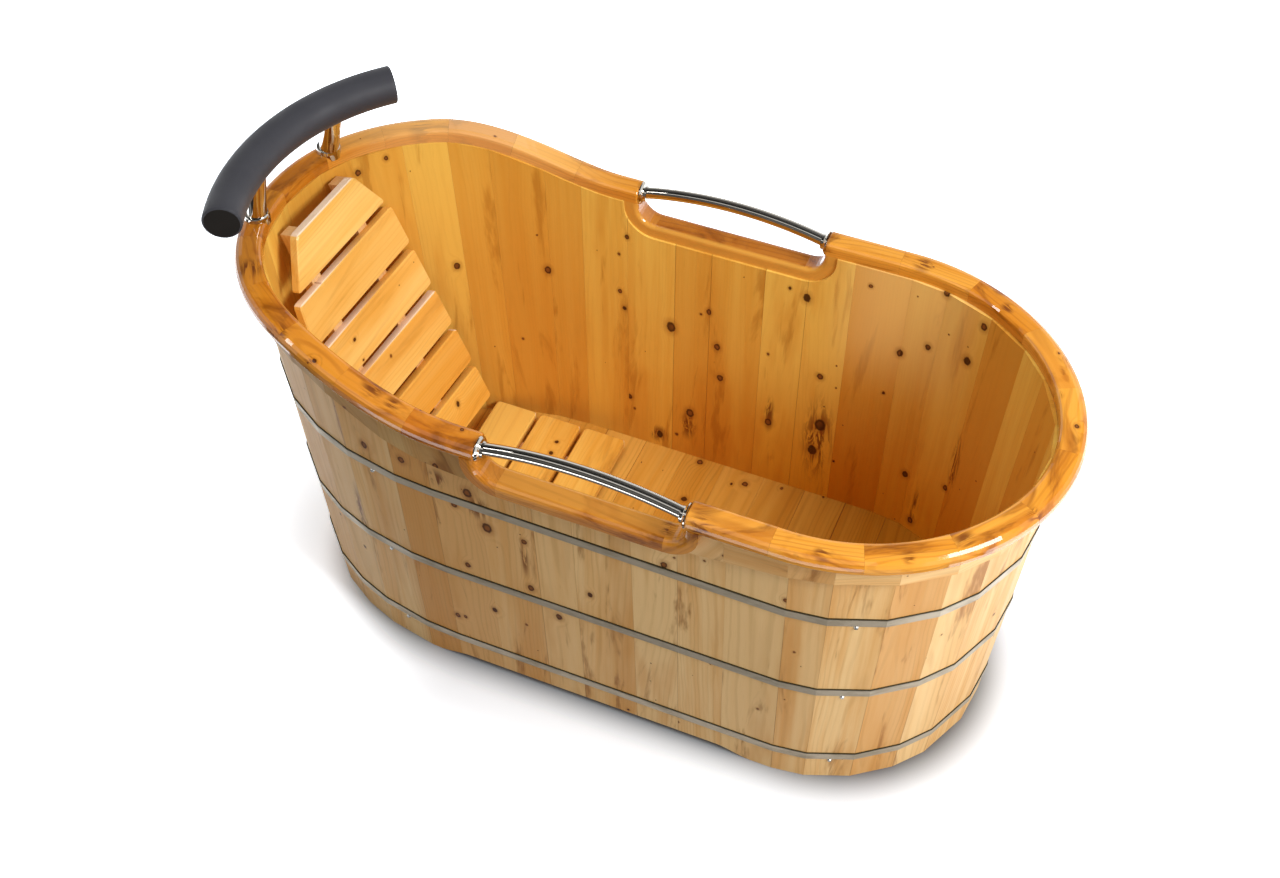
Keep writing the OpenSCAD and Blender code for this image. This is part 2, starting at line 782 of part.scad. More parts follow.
module roll_arc(diameter, spread) {
  translate(roll_centre) rotate([0, 0, 2 * quarter - roll_turn - spread])
    rotate_extrude(angle = 2 * spread, $fn = 160)
      translate([roll_radius, 0]) circle(d = diameter, $fn = 48);
}

// A bar along a post's axis, from one length to another, counted from the foot.
module post_bar(foot, diameter, from, to, sides = 48) {
  aim = post_aim(foot);
  translate(foot) rotate([0, acos(aim[2] / norm(aim)), atan2(aim[1], aim[0])])
    translate([0, 0, from]) rotate([0, 0, quarter])
      cylinder(d = diameter, h = to - from, $fn = sides);
}

function post_reach(foot) = norm(post_aim(foot)) - roll_diameter / 2 + post_into_roll;

module rest_stud_shapes() {
  for (foot = post_feet) post_bar(foot, rest_stud, -rest_stud_in_wood, norm(post_aim(foot)));
}

// Twelve-sided holes in the rim, wide enough for round studs.
hole_sides = 12;
function hole_size(d) = (d + 2 * glue_gap) / cos(2 * quarter / hole_sides);
module rest_stud_holes() {
  for (foot = post_feet)
    post_bar(foot, hole_size(rest_stud), -rest_stud_in_wood - 1, rim_thickness, hole_sides);
}

module headrest_roll() {
  color(foam_black) difference() {
    roll_arc(roll_diameter, roll_spread);
    roll_arc(tube_diameter, roll_spread - tube_end);
    for (foot = post_feet) post_bar(foot, post_diameter, 0, post_reach(foot));
    rest_stud_shapes();
  }
}

module headrest_tube() {
  color(steel_grey) difference() {
    roll_arc(tube_diameter, roll_spread - tube_end);
    rest_stud_shapes();
  }
}

module headrest_posts() {
  color(chrome_grey) difference() {
    for (foot = post_feet) post_bar(foot, post_diameter, -collar_skirt, post_reach(foot));
    translate([-half_length, -half_width, head_height - 2 * collar_skirt])
      cube([half_length, tub_width, 2 * collar_skirt]);
    rest_stud_shapes();
  }
}

// The rim near the foot of a post, as a straight length, so that the collar's skirt fits it.
function rim_facing(p) =
  let (u = (-p[0] - straight_head) / head_reach, v = p[1] / head_half)
  atan2(
    sign(v) * pow(abs(v), head_fullness - 1) / head_half,
    -pow(u, head_fullness - 1) / head_reach
  );
module rim_bed(foot) {
  translate([0, 0, glue_gap - 1]) translate(foot) rotate([0, 0, rim_facing(foot)])
    rotate([quarter, 0, 0]) translate([post_inset - rim_half, 0])
      linear_extrude(height = 2 * rim_width, center = true) polygon(rim_profile(-1));
}

module headrest_collars() {
  edge = rim_half - 1;
  throat = post_diameter / 2;
  color(chrome_grey) difference() {
    for (foot = post_feet) translate(foot) rotate_extrude($fn = 64) polygon([
      [0, -collar_skirt],
      [edge, -collar_skirt],
      [edge, 2],
      [throat + collar_rise, collar_height - 2],
      [throat + collar_rise - 1, collar_height],
      [0, collar_height]
    ]);
    for (foot = post_feet) {
      post_bar(foot, post_diameter, -2 * collar_skirt, 2 * collar_skirt);
      rim_bed(foot);
    }
  }
}

module headrest_studs() {
  color(steel_grey) rest_stud_shapes();
}

// Slats are boards with rounded corners and a bevelled upper face. Screws reach into them by
// the bite.
slat_corner = 7;
slat_bevel = 2.5;
screw_bite = 0.6 * slat_thickness;
function eased(points, r) = [for (k = [0 : len(points) - 1]) let (
    p = points[k],
    a = unit(points[(k + len(points) - 1) % len(points)] - p),
    b = unit(points[(k + 1) % len(points)] - p)
  ) each [p + a * r, p + (a + b) * r * 0.29, p + b * r]];
function lift(points, z) = [for (p = points) [p[0], p[1], z]];

// Four corners in order, shrunk towards the inside by an amount.
function shrunk(q, by) = [
  q[0] + [by, by], q[1] + [-by, by], q[2] + [-by, -by], q[3] + [by, -by]];

module slat_board(quad, thickness) {
  skin([
    lift(eased(quad, slat_corner), 0),
    lift(eased(quad, slat_corner), thickness - slat_bevel),
    lift(eased(shrunk(quad, slat_bevel), slat_corner), thickness)
  ]);
}

// Backrest frame: origin at the lower front edge, X across the tub, Y up the slope and Z
// out of the front face.
backrest_angle = atan(backrest_lean);
seat_level = floor_level + seat_batten_height + slat_thickness;
backrest_base = seat_level + backrest_clear;
backrest_length = (backrest_top - backrest_base) / cos(backrest_angle);
backrest_pitch = (backrest_length + slat_gap) / backrest_count;
module on_backrest() {
  translate([-backrest_foot, backrest_shift, backrest_base]) rotate([0, 0, -backrest_turn])
    rotate([0, -backrest_angle, 0]) rotate([quarter, 0, quarter]) children();
}

function backrest_half(v) =
  v > backrest_length - backrest_pitch
    ? backrest_half_shoulder + (backrest_half_top - backrest_half_shoulder)
      * (v - backrest_length + backrest_pitch) / backrest_pitch
    : backrest_half_foot + (backrest_half_shoulder - backrest_half_foot)
      * v / (backrest_length - backrest_pitch);

module backrest_slats() {
  color(wood_amber) difference() {
    on_backrest() for (k = [0 : backrest_count - 1]) {
      low = k * backrest_pitch;
      high = low + backrest_pitch - slat_gap;
      translate([0, 0, -slat_thickness]) slat_board([
        [-backrest_half(low), low], [backrest_half(low), low],
        [backrest_half(high), high], [-backrest_half(high), high]
      ], slat_thickness);
    }
    backrest_screw_shapes();
  }
}

// The seat's back edge, drawn down along the way by which the backrest is lifted out. The feet
// of the battens stay behind it.
lift_play = 1.5;
module lift_path() {
  top = seat_level + lift_play;
  fall = top - floor_level + 1;
  edge = -seat_back - lift_play;
  translate([0, half_width, 0]) rotate([quarter, 0, 0]) linear_extrude(height = tub_width)
    polygon([[edge, top], [edge - fall * tan(lift_angle), top - fall], [0, top - fall], [0, top]]);
}

// Battens lie on the back of the slats and stand on the floor.
batten_stop = 2;
module backrest_battens() {
  color(wood_amber) difference() {
    on_backrest() both_hands() translate([batten_half_spacing - batten_width / 2,
      -2 * backrest_base, -slat_thickness - batten_depth])
      cube([batten_width, 2 * backrest_base + backrest_length - batten_stop, batten_depth]);
    translate([-half_length, -half_width, -head_height])
      cube([tub_length, tub_width, head_height + floor_level]);
    lift_path();
    backrest_screw_shapes();
  }
}

module backrest_screw_shapes() {
  on_backrest() both_hands() for (k = [0 : backrest_count - 1])
    translate([batten_half_spacing, (k + 0.5) * backrest_pitch - slat_gap / 2,
      -slat_thickness - batten_depth]) wood_screw(batten_depth + screw_bite);
}

module backrest_screws() {
  color(steel_grey) backrest_screw_shapes();
}

seat_pitch = (seat_depth + seat_gap) / seat_count;
seat_batten_spacing = 170;
seat_batten_recess = 6;
module seat_slats() {
  color(wood_amber) difference() {
    for (k = [0 : seat_count - 1]) {
      low = -seat_back + k * seat_pitch;
      high = low + seat_pitch - seat_gap;
      translate([0, 0, seat_level - slat_thickness]) slat_board([
        [low, -seat_half_length], [high, -seat_half_length],
        [high, seat_half_length], [low, seat_half_length]
      ], slat_thickness);
    }
    seat_screw_shapes();
  }
}

module seat_battens() {
  color(wood_amber) difference() {
    for (y = [-seat_batten_spacing, 0, seat_batten_spacing])
      translate([seat_batten_recess - seat_back, y - batten_width / 2, floor_level])
        cube([seat_depth - 2 * seat_batten_recess, batten_width, seat_batten_height]);
    seat_screw_shapes();
  }
}

module seat_screw_shapes() {
  for (k = [0 : seat_count - 1], y = [-seat_batten_spacing, 0, seat_batten_spacing])
    translate([-seat_back + (k + 0.5) * seat_pitch - seat_gap / 2, y, floor_level])
      wood_screw(seat_batten_height + screw_bite);
}

module seat_screws() {
  color(steel_grey) seat_screw_shapes();
}

// Drain: flange let into the floor, tailpiece with locknut below, lift-up stopper.
flange_plate = 3;
tail_wall = 3;
tail_bottom = 4;
thread_relief = 2;
relief_depth = 2;
gasket_thickness = 2;
nut_height = 9;
nut_width = 58;
nut_sides = 8;
nut_bottom = floor_bottom - gasket_thickness - nut_height;
gasket_diameter = 52;
stopper_diameter = 50;
stopper_cap = 4;
stopper_edge = 2;
stopper_dome = 0.5;
stopper_slope = 6;
stem_diameter = 8;
stem_low = 20;
hub_diameter = 16;
spoke_width = 3;
spider_height = 4;
spider_level = 26;
seat_depth_in_flange = 1.5;
module at_drain(z) {
  translate([drain_offset, 0, z]) children();
}

module drain_flange() {
  color(chrome_grey) at_drain(floor_level - flange_plate) rotate_extrude($fn = 64) polygon([
    [drain_tail_diameter / 2 - tail_wall, 0],
    [drain_flange_diameter / 2, 0],
    [drain_flange_diameter / 2 - drain_play, flange_plate],
    [stopper_diameter / 2 + drain_play, flange_plate],
    [drain_tail_diameter / 2 - tail_wall, flange_plate - seat_depth_in_flange]
  ]);
}

// The tailpiece is threaded for the nut, and a groove parts the thread from the outlet.
module drain_tailpiece() {
  inner = drain_tail_diameter / 2 - tail_wall;
  thread = drain_tail_diameter / 2;
  outlet = drain_outlet_diameter / 2;
  top = floor_level - flange_plate;
  color(chrome_grey) at_drain(0) {
    rotate_extrude($fn = 64) polygon([
      [inner, tail_bottom],
      [outlet, tail_bottom],
      [outlet, nut_bottom - thread_relief],
      [thread - relief_depth, nut_bottom - thread_relief],
      [thread - relief_depth, nut_bottom],
      [thread, nut_bottom],
      [thread, top],
      [inner, top]
    ]);
    translate([0, 0, spider_level]) difference() {
      union() {
        cylinder(d = hub_diameter, h = spider_height, $fn = 32);
        for (a = [0, quarter]) rotate([0, 0, a])
          translate([-inner - tail_wall / 2, -spoke_width / 2, 0])
            cube([2 * inner + tail_wall, spoke_width, spider_height]);
      }
      translate([0, 0, -1])
        cylinder(d = stem_diameter + 2 * slip_gap, h = spider_height + 2, $fn = 32);
    }
  }
}

module drain_gasket() {
  color(rubber_black) at_drain(floor_bottom - gasket_thickness) difference() {
    cylinder(d = gasket_diameter, h = gasket_thickness, $fn = 64);
    translate([0, 0, -1]) cylinder(d = drain_bore, h = gasket_thickness + 2, $fn = 64);
  }
}

module drain_locknut() {
  color(chrome_grey) at_drain(nut_bottom) difference() {
    cylinder(d = nut_width, h = nut_height, $fn = nut_sides);
    translate([0, 0, -1])
      cylinder(d = drain_tail_diameter + glue_gap, h = nut_height + 2, $fn = 64);
  }
}

module drain_stopper() {
  edge = stopper_diameter / 2;
  color(chrome_grey) at_drain(floor_level) {
    rotate_extrude($fn = 64) polygon([
      [0, 0],
      [edge, 0],
      [edge, stopper_cap - stopper_edge],
      [edge - stopper_slope, stopper_cap],
      [0, stopper_cap + stopper_dome]
    ]);
    translate([0, 0, stem_low - floor_level])
      cylinder(d = stem_diameter, h = floor_level - stem_low + stopper_edge, $fn = 32);
  }
}

for (i = [1 : stave_pairs]) stave_pair(i);
apron_boards();
rim_head();
rim_foot();
notch_sills();
notch_corners();
hoop_bottom();
hoop_middle();
hoop_top();
hoop_screws();
floor_boards();
floor_battens();
floor_screws();
grab_bar_far();
grab_bar_near();
grab_flanges();
grab_studs();
headrest_roll();
headrest_tube();
headrest_posts();
headrest_collars();
headrest_studs();
backrest_slats();
backrest_battens();
backrest_screws();
seat_slats();
seat_battens();
seat_screws();
drain_flange();
drain_gasket();
drain_tailpiece();
drain_locknut();
drain_stopper();
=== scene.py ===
"""Looks for the wooden bathtub: knotty cedar boards, lacquered rim, chrome, steel hoops and a
foam headrest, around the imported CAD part. Metres, +X to the foot end, +Z up."""

import json
import math
from collections import namedtuple

import bpy
import numpy as np
from mathutils import Matrix, Vector
from mathutils.bvhtree import BVHTree


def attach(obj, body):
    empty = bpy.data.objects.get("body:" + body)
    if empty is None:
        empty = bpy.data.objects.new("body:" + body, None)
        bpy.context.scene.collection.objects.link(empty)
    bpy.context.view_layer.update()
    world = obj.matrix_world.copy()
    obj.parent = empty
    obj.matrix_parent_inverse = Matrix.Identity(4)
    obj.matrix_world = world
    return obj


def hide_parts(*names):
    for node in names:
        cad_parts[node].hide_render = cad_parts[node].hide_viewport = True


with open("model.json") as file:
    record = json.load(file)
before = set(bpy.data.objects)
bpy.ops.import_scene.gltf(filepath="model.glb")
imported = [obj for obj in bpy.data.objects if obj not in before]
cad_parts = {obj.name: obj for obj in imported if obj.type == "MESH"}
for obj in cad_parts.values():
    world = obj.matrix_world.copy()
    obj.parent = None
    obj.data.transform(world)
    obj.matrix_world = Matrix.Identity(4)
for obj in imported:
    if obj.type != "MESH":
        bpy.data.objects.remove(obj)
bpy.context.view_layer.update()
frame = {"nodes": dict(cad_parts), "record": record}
nodes = frame["nodes"]
scene = bpy.context.scene


def srgb(text):
    """Linear colour from a hex colour."""
    out = []
    for i in (0, 2, 4):
        c = int(text[i:i + 2], 16) / 255
        out.append(c / 12.92 if c <= 0.04045 else ((c + 0.055) / 1.055) ** 2.4)
    return (*out, 1.0)


# Camera of the photograph, with its place in metres and its focal length in pixels
PICTURE = (1280, 878)
CAMERA_PLACE = Vector((0.78727, -1.84637, 2.73615))
AZIMUTH, ELEVATION, TILT = (math.radians(a) for a in (23.601, 48.962, -0.923))
FOCAL = 1670.5


def camera_axes():
    """Right, top and back of the camera."""
    back = Vector((math.sin(AZIMUTH) * math.cos(ELEVATION),
                   -math.cos(AZIMUTH) * math.cos(ELEVATION), math.sin(ELEVATION)))
    level = Vector((math.cos(AZIMUTH), math.sin(AZIMUTH), 0))
    up = back.cross(level)
    right = level * math.cos(TILT) + up * math.sin(TILT)
    return right, up * math.cos(TILT) - level * math.sin(TILT), back


def seen_on(starts, pixels):
    """Places where the rays of picture pixels first meet the CAD nodes with such names."""
    right, top, back = camera_axes()
    meshes = [node.data for name, node in sorted(nodes.items()) if name.startswith(starts)]
    trees = [BVHTree.FromPolygons([v.co for v in mesh.vertices], [p.vertices for p in mesh.polygons])
             for mesh in meshes]
    places = []
    for column, row, *size in pixels:
        way = right * (column - PICTURE[0] / 2) - top * (row - PICTURE[1] / 2) - back * FOCAL
        hits = [tree.ray_cast(CAMERA_PLACE, way.normalized()) for tree in trees]
        place = min((hit for hit in hits if hit[0]), key=lambda hit: hit[3])[0]
        places.append((*place, *size))
    return places


# Knots picked in the photograph: pixel column, pixel row and radius in millimetres
FAR_WALL_KNOTS = (
    (457, 266, 6.0), (548, 270, 6.5), (627, 237, 4.0), (620, 291, 4.0), (619, 254, 2.5),
    (671, 327, 9.0), (709, 312, 5.0), (717, 347, 6.0), (720, 378, 6.0), (690, 413, 8.0),
    (660, 434, 7.0), (768, 354, 2.5), (768, 422, 7.0), (807, 298, 7.0), (790, 288, 3.0),
    (947, 293, 6.0), (984, 327, 6.0), (967, 361, 7.0), (900, 353, 6.0), (928, 347, 5.0),
    (820, 425, 11.0), (812, 450, 9.0), (945, 488, 5.0), (905, 474, 6.0), (910, 520, 6.0),
    (358, 173, 5.0), (386, 158, 4.0),
)
NEAR_WALL_KNOTS = (
    (401, 460, 6.0), (364, 445, 6.0), (435, 466, 5.0), (467, 493, 8.0), (487, 528, 9.0),
    (524, 542, 5.0), (468, 565, 5.0), (531, 588, 6.0), (590, 595, 5.0), (559, 617, 6.0),
    (495, 610, 5.0), (458, 615, 5.0), (664, 565, 6.0),
)
FLOOR_KNOTS = ((745, 484, 6.0), (700, 462, 6.0), (684, 499, 6.0))
SLAT_KNOTS = ((557, 442, 4.0), (551, 453, 4.5), (458, 404, 5.0), (391, 356, 2.5))
# Dark burls of the rim picked there too: pixel column and row, half width and height in metres
RIM_SMEARS = (
    (277, 334, 0.026, 0.060), (311, 360, 0.016, 0.060), (373, 388, 0.024, 0.060),
    (393, 404, 0.018, 0.060), (249, 268, 0.030, 0.060), (822, 554, 0.016, 0.060),
    (965, 539, 0.022, 0.060), (1036, 516, 0.020, 0.060), (909, 557, 0.014, 0.060),
    (924, 264, 0.022, 0.060), (1008, 308, 0.016, 0.060), (1067, 358, 0.020, 0.060),
    (1058, 396, 0.012, 0.060), (420, 127, 0.030, 0.060), (700, 530, 0.030, 0.060),
    (668, 528, 0.018, 0.060),
)
# Dark torn grain of the walls. These places are listed, mostly near knots, and aren't all
# dark in the photograph: place, half width and half height in metres.
WALL_SMEARS = (
    (0.236, 0.300, 0.215, 0.038, 0.140), (-0.040, 0.299, 0.140, 0.022, 0.050),
    (-0.105, 0.297, 0.085, 0.026, 0.030), (0.520, 0.262, 0.300, 0.014, 0.110),
    (0.132, 0.300, 0.245, 0.012, 0.060), (0.455, 0.285, 0.120, 0.016, 0.070),
    (-0.180, -0.326, 0.520, 0.030, 0.040), (-0.251, -0.329, 0.566, 0.022, 0.030),
    (-0.100, -0.323, 0.420, 0.010, 0.070), (-0.448, -0.297, 0.343, 0.012, 0.110),
)
wall_knots = seen_on(("stave_pair", "apron_boards"), FAR_WALL_KNOTS + NEAR_WALL_KNOTS)
rim_smears = seen_on(("rim_", "notch_"), RIM_SMEARS)
floor_knots = seen_on("floor_boards", FLOOR_KNOTS)
slat_knots = seen_on(("backrest_slats", "seat_slats"), SLAT_KNOTS)


# Node graphs
class Graph:
    """Small helper that adds shader nodes and links them."""

    def __init__(self, name):
        self.material = bpy.data.materials.new(name)
        self.material.use_nodes = True
        self.tree = self.material.node_tree
        self.tree.nodes.clear()
        out = self.tree.nodes.new("ShaderNodeOutputMaterial")
        self.shader = self.tree.nodes.new("ShaderNodeBsdfPrincipled")
        self.tree.links.new(self.shader.outputs[0], out.inputs["Surface"])

    def node(self, kind, **settings):
        n = self.tree.nodes.new(kind)
        for key, value in settings.items():
            setattr(n, key, value)
        return n

    def feed(self, socket, value):
        """Links a socket or sets a constant. None leaves the socket as it is."""
        if isinstance(value, bpy.types.NodeSocket):
            self.tree.links.new(value, socket)
        elif value is not None:
            socket.default_value = value

    def set(self, **values):
        """Feeds sockets of the shader, named with underscores for spaces."""
        for key, value in values.items():
            self.feed(self.shader.inputs[key.replace("_", " ")], value)

    def gap(self, a, b):
        """Distance between two points."""
        n = self.node("ShaderNodeVectorMath", operation="DISTANCE")
        self.feed(n.inputs[0], a)
        self.feed(n.inputs[1], b)
        return n.outputs["Value"]

    def math(self, op, a, b=None):
        n = self.node("ShaderNodeMath", operation=op)
        self.feed(n.inputs[0], a)
        self.feed(n.inputs[1], b)
        return n.outputs[0]

    def add(self, a, b):
        return self.math("ADD", a, b)

    def sub(self, a, b):
        return self.math("SUBTRACT", a, b)

    def mul(self, a, b):
        return self.math("MULTIPLY", a, b)

    def vector(self, x, y, z):
        n = self.node("ShaderNodeCombineXYZ")
        for i, v in enumerate((x, y, z)):
            self.feed(n.inputs[i], v)
        return n.outputs[0]

    def split(self, v):
        """The three numbers of a vector."""
        n = self.node("ShaderNodeSeparateXYZ")
        self.feed(n.inputs[0], v)
        return n.outputs

    def here(self):
        """Place of the shaded point, in the frame's metres."""
        return self.node("ShaderNodeTexCoord").outputs["Object"]

    def attribute(self, name):
        return self.node("ShaderNodeAttribute", attribute_name=name).outputs["Vector"]

    def noise(self, vector, scale=1.0, detail=2.0, rough=0.5, distortion=0.0):
        n = self.node("ShaderNodeTexNoise")
        self.feed(n.inputs["Vector"], vector)
        n.inputs["Scale"].default_value = scale
        n.inputs["Detail"].default_value = detail
        n.inputs["Roughness"].default_value = rough
        n.inputs["Distortion"].default_value = distortion
        return n.outputs[0]

    def span(self, value, low, high, to_low=0.0, to_high=1.0, kind="SMOOTHSTEP"):
        """Number from to_low to to_high as the value goes from low to high."""
        n = self.node("ShaderNodeMapRange", interpolation_type=kind, clamp=True)
        for i, v in enumerate((value, low, high, to_low, to_high)):
            self.feed(n.inputs[i], v)
        return n.outputs[0]

    def mix(self, factor, a, b, blend="MIX"):
        n = self.node("ShaderNodeMix", data_type="RGBA", blend_type=blend, clamp_factor=True)
        self.feed(n.inputs[0], factor)
        self.feed(n.inputs[6], a)
        self.feed(n.inputs[7], b)
        return n.outputs[2]

    def bump(self, height, strength, distance):
        n = self.node("ShaderNodeBump")
        n.inputs["Strength"].default_value = strength
        n.inputs["Distance"].default_value = distance
        self.feed(n.inputs["Height"], height)
        self.feed(self.shader.inputs["Normal"], n.outputs[0])


# Sizes in the wood, in metres
RING_GAP, RING_SWAY, RING_DRIFT = 0.0052, 0.030, 0.045
PITH_ASIDE, PITH_NEAR, PITH_RANGE = 0.12, 0.022, 0.09
RING_PUSH, KNOT_WOBBLE = 0.0075, 0.004
LARGE_KNOTS = dict(chance=0.22, cell=0.120, small=0.0028, large=0.0085, seed=0.0)
SMALL_KNOTS = dict(chance=0.14, cell=0.060, small=0.0010, large=0.0036, seed=13.0)
SEAM_LINE, PALE_EDGE = (0.0012, 0.0002), (0.0030, 0.0010)
FACES_APART = 0.006
LINING_FACE = (0.3240, 0.3165)
GRAIN_BUMP = 0.0006
MILLIMETRES = 1000.0

# Knots are longer than wide, and have a dark core, a brown halo and an eye, in knot radii.
KNOT_SQUEEZE, KNOT_STRETCH = 0.72, 1.25
CORE_ENDS, HALO_ENDS, EYE_ENDS, PUSH_ENDS = (1.20, 0.85), (2.6, 0.9), (0.80, 0.35), (5.0, 0.2)
FAR_FROM_KNOTS = 20.0
SMEAR_ENDS = (1.1, 0.2)

# Noise in the wood: cycles for each metre along, across and through the board, then detail,
# roughness and distortion, and the two values of the noise between which the figure comes in
Figure = namedtuple("Figure", "cycles detail rough distortion ends", defaults=(2.0, 0.5, 0.0, None))
WOBBLE = Figure((150.0, 150.0, 30.0))
FIBRE = Figure((22.0, 900.0, 900.0), 2.0, 0.6)
SWAY = Figure((3.0, 9.0, 9.0), 3.0, 0.55)
DRIFT = Figure((1.1, 2.0, 2.0), 1.0)
UNEVEN = Figure((2.0, 60.0, 60.0))
STREAK = Figure((1.6, 42.0, 42.0), 4.0, 0.6, ends=(0.30, 0.72))
BROAD = Figure((0.9, 11.0, 11.0), ends=(0.46, 0.70))
CLOUD = Figure((2.4, 14.0, 6.0), 3.0, 0.6, ends=(0.50, 0.68))
HEART = Figure((3.2, 25.0, 8.0), 4.0, 0.62, 0.4, (0.565, 0.70))
FLAME = Figure((5.0, 16.0, 16.0), 3.0, 0.6, 0.8, (0.49, 0.62))
BURL = Figure((7.0, 16.0, 16.0), 4.0, 0.6, 1.0, (0.52, 0.70))
TORN = Figure((14.0, 90.0, 30.0), 4.0, 0.65, 1.0, (0.42, 0.56))
EYE = Figure((7.0, 11.0, 2.0), ends=(0.40, 0.55))
POLISH = Figure((9.0, 40.0, 40.0), 3.0)
UNEVEN_ENDS, UNEVEN_DEPTHS = (0.30, 0.70), (0.25, 1.0)
FIBRE_ENDS, LATE_ENDS = (0.52, 0.80), (0.15, 1.0)
REDDER_BOARDS, LIGHTER_BOARDS = (0.35, 1.0), (0.50, 1.0)

# How strongly each layer of colour covers what is under it
DEPTH = dict(broad=0.50, redder=0.65, lighter=0.60, rings=0.36, inner_rings=0.14, cloud=0.35,
             fibre=0.12, outer_heart=0.60, flame=0.70, smear=0.85, lining=0.75, halo=0.42,
             core=0.93, eye=0.60)
# How much rougher knots and cloudy polish are, and how far each layer stands out or lies deeper
KNOT_ROUGH, POLISH_ROUGH = 0.08, 0.12
RELIEF = dict(late=-0.35, fibre=0.25, core=-0.8, line=-1.2)
WOOD_IOR, LACQUER_IOR = 1.45, 1.5

SEAM_BROWN = srgb("7a4212")
# Painted highlight colour for the long edges of boards
PAINTED_EDGE_HIGHLIGHT = srgb("fce8d4")
HEART_OUTSIDE, HEART_INSIDE = srgb("9c6430"), srgb("a4600e")
FLAME_BROWN, BURL_BROWN = srgb("ac5c0c"), srgb("6e3606")
SMEAR_BROWN = srgb("682c0a")
KNOT_HALO, KNOT_CORE, KNOT_EYE = srgb("9a5218"), srgb("3c1a08"), srgb("a8642c")

Tones = namedtuple("Tones", "light middle dark red")
Gloss = namedtuple("Gloss", "rough coat coat_rough bump specular")
# A tint multiplies by a colour or mixes it in, between two lengths, widths or heights.
Tint = namedtuple("Tint", "blend colour strength lengths widths heights", defaults=(None,) * 3)


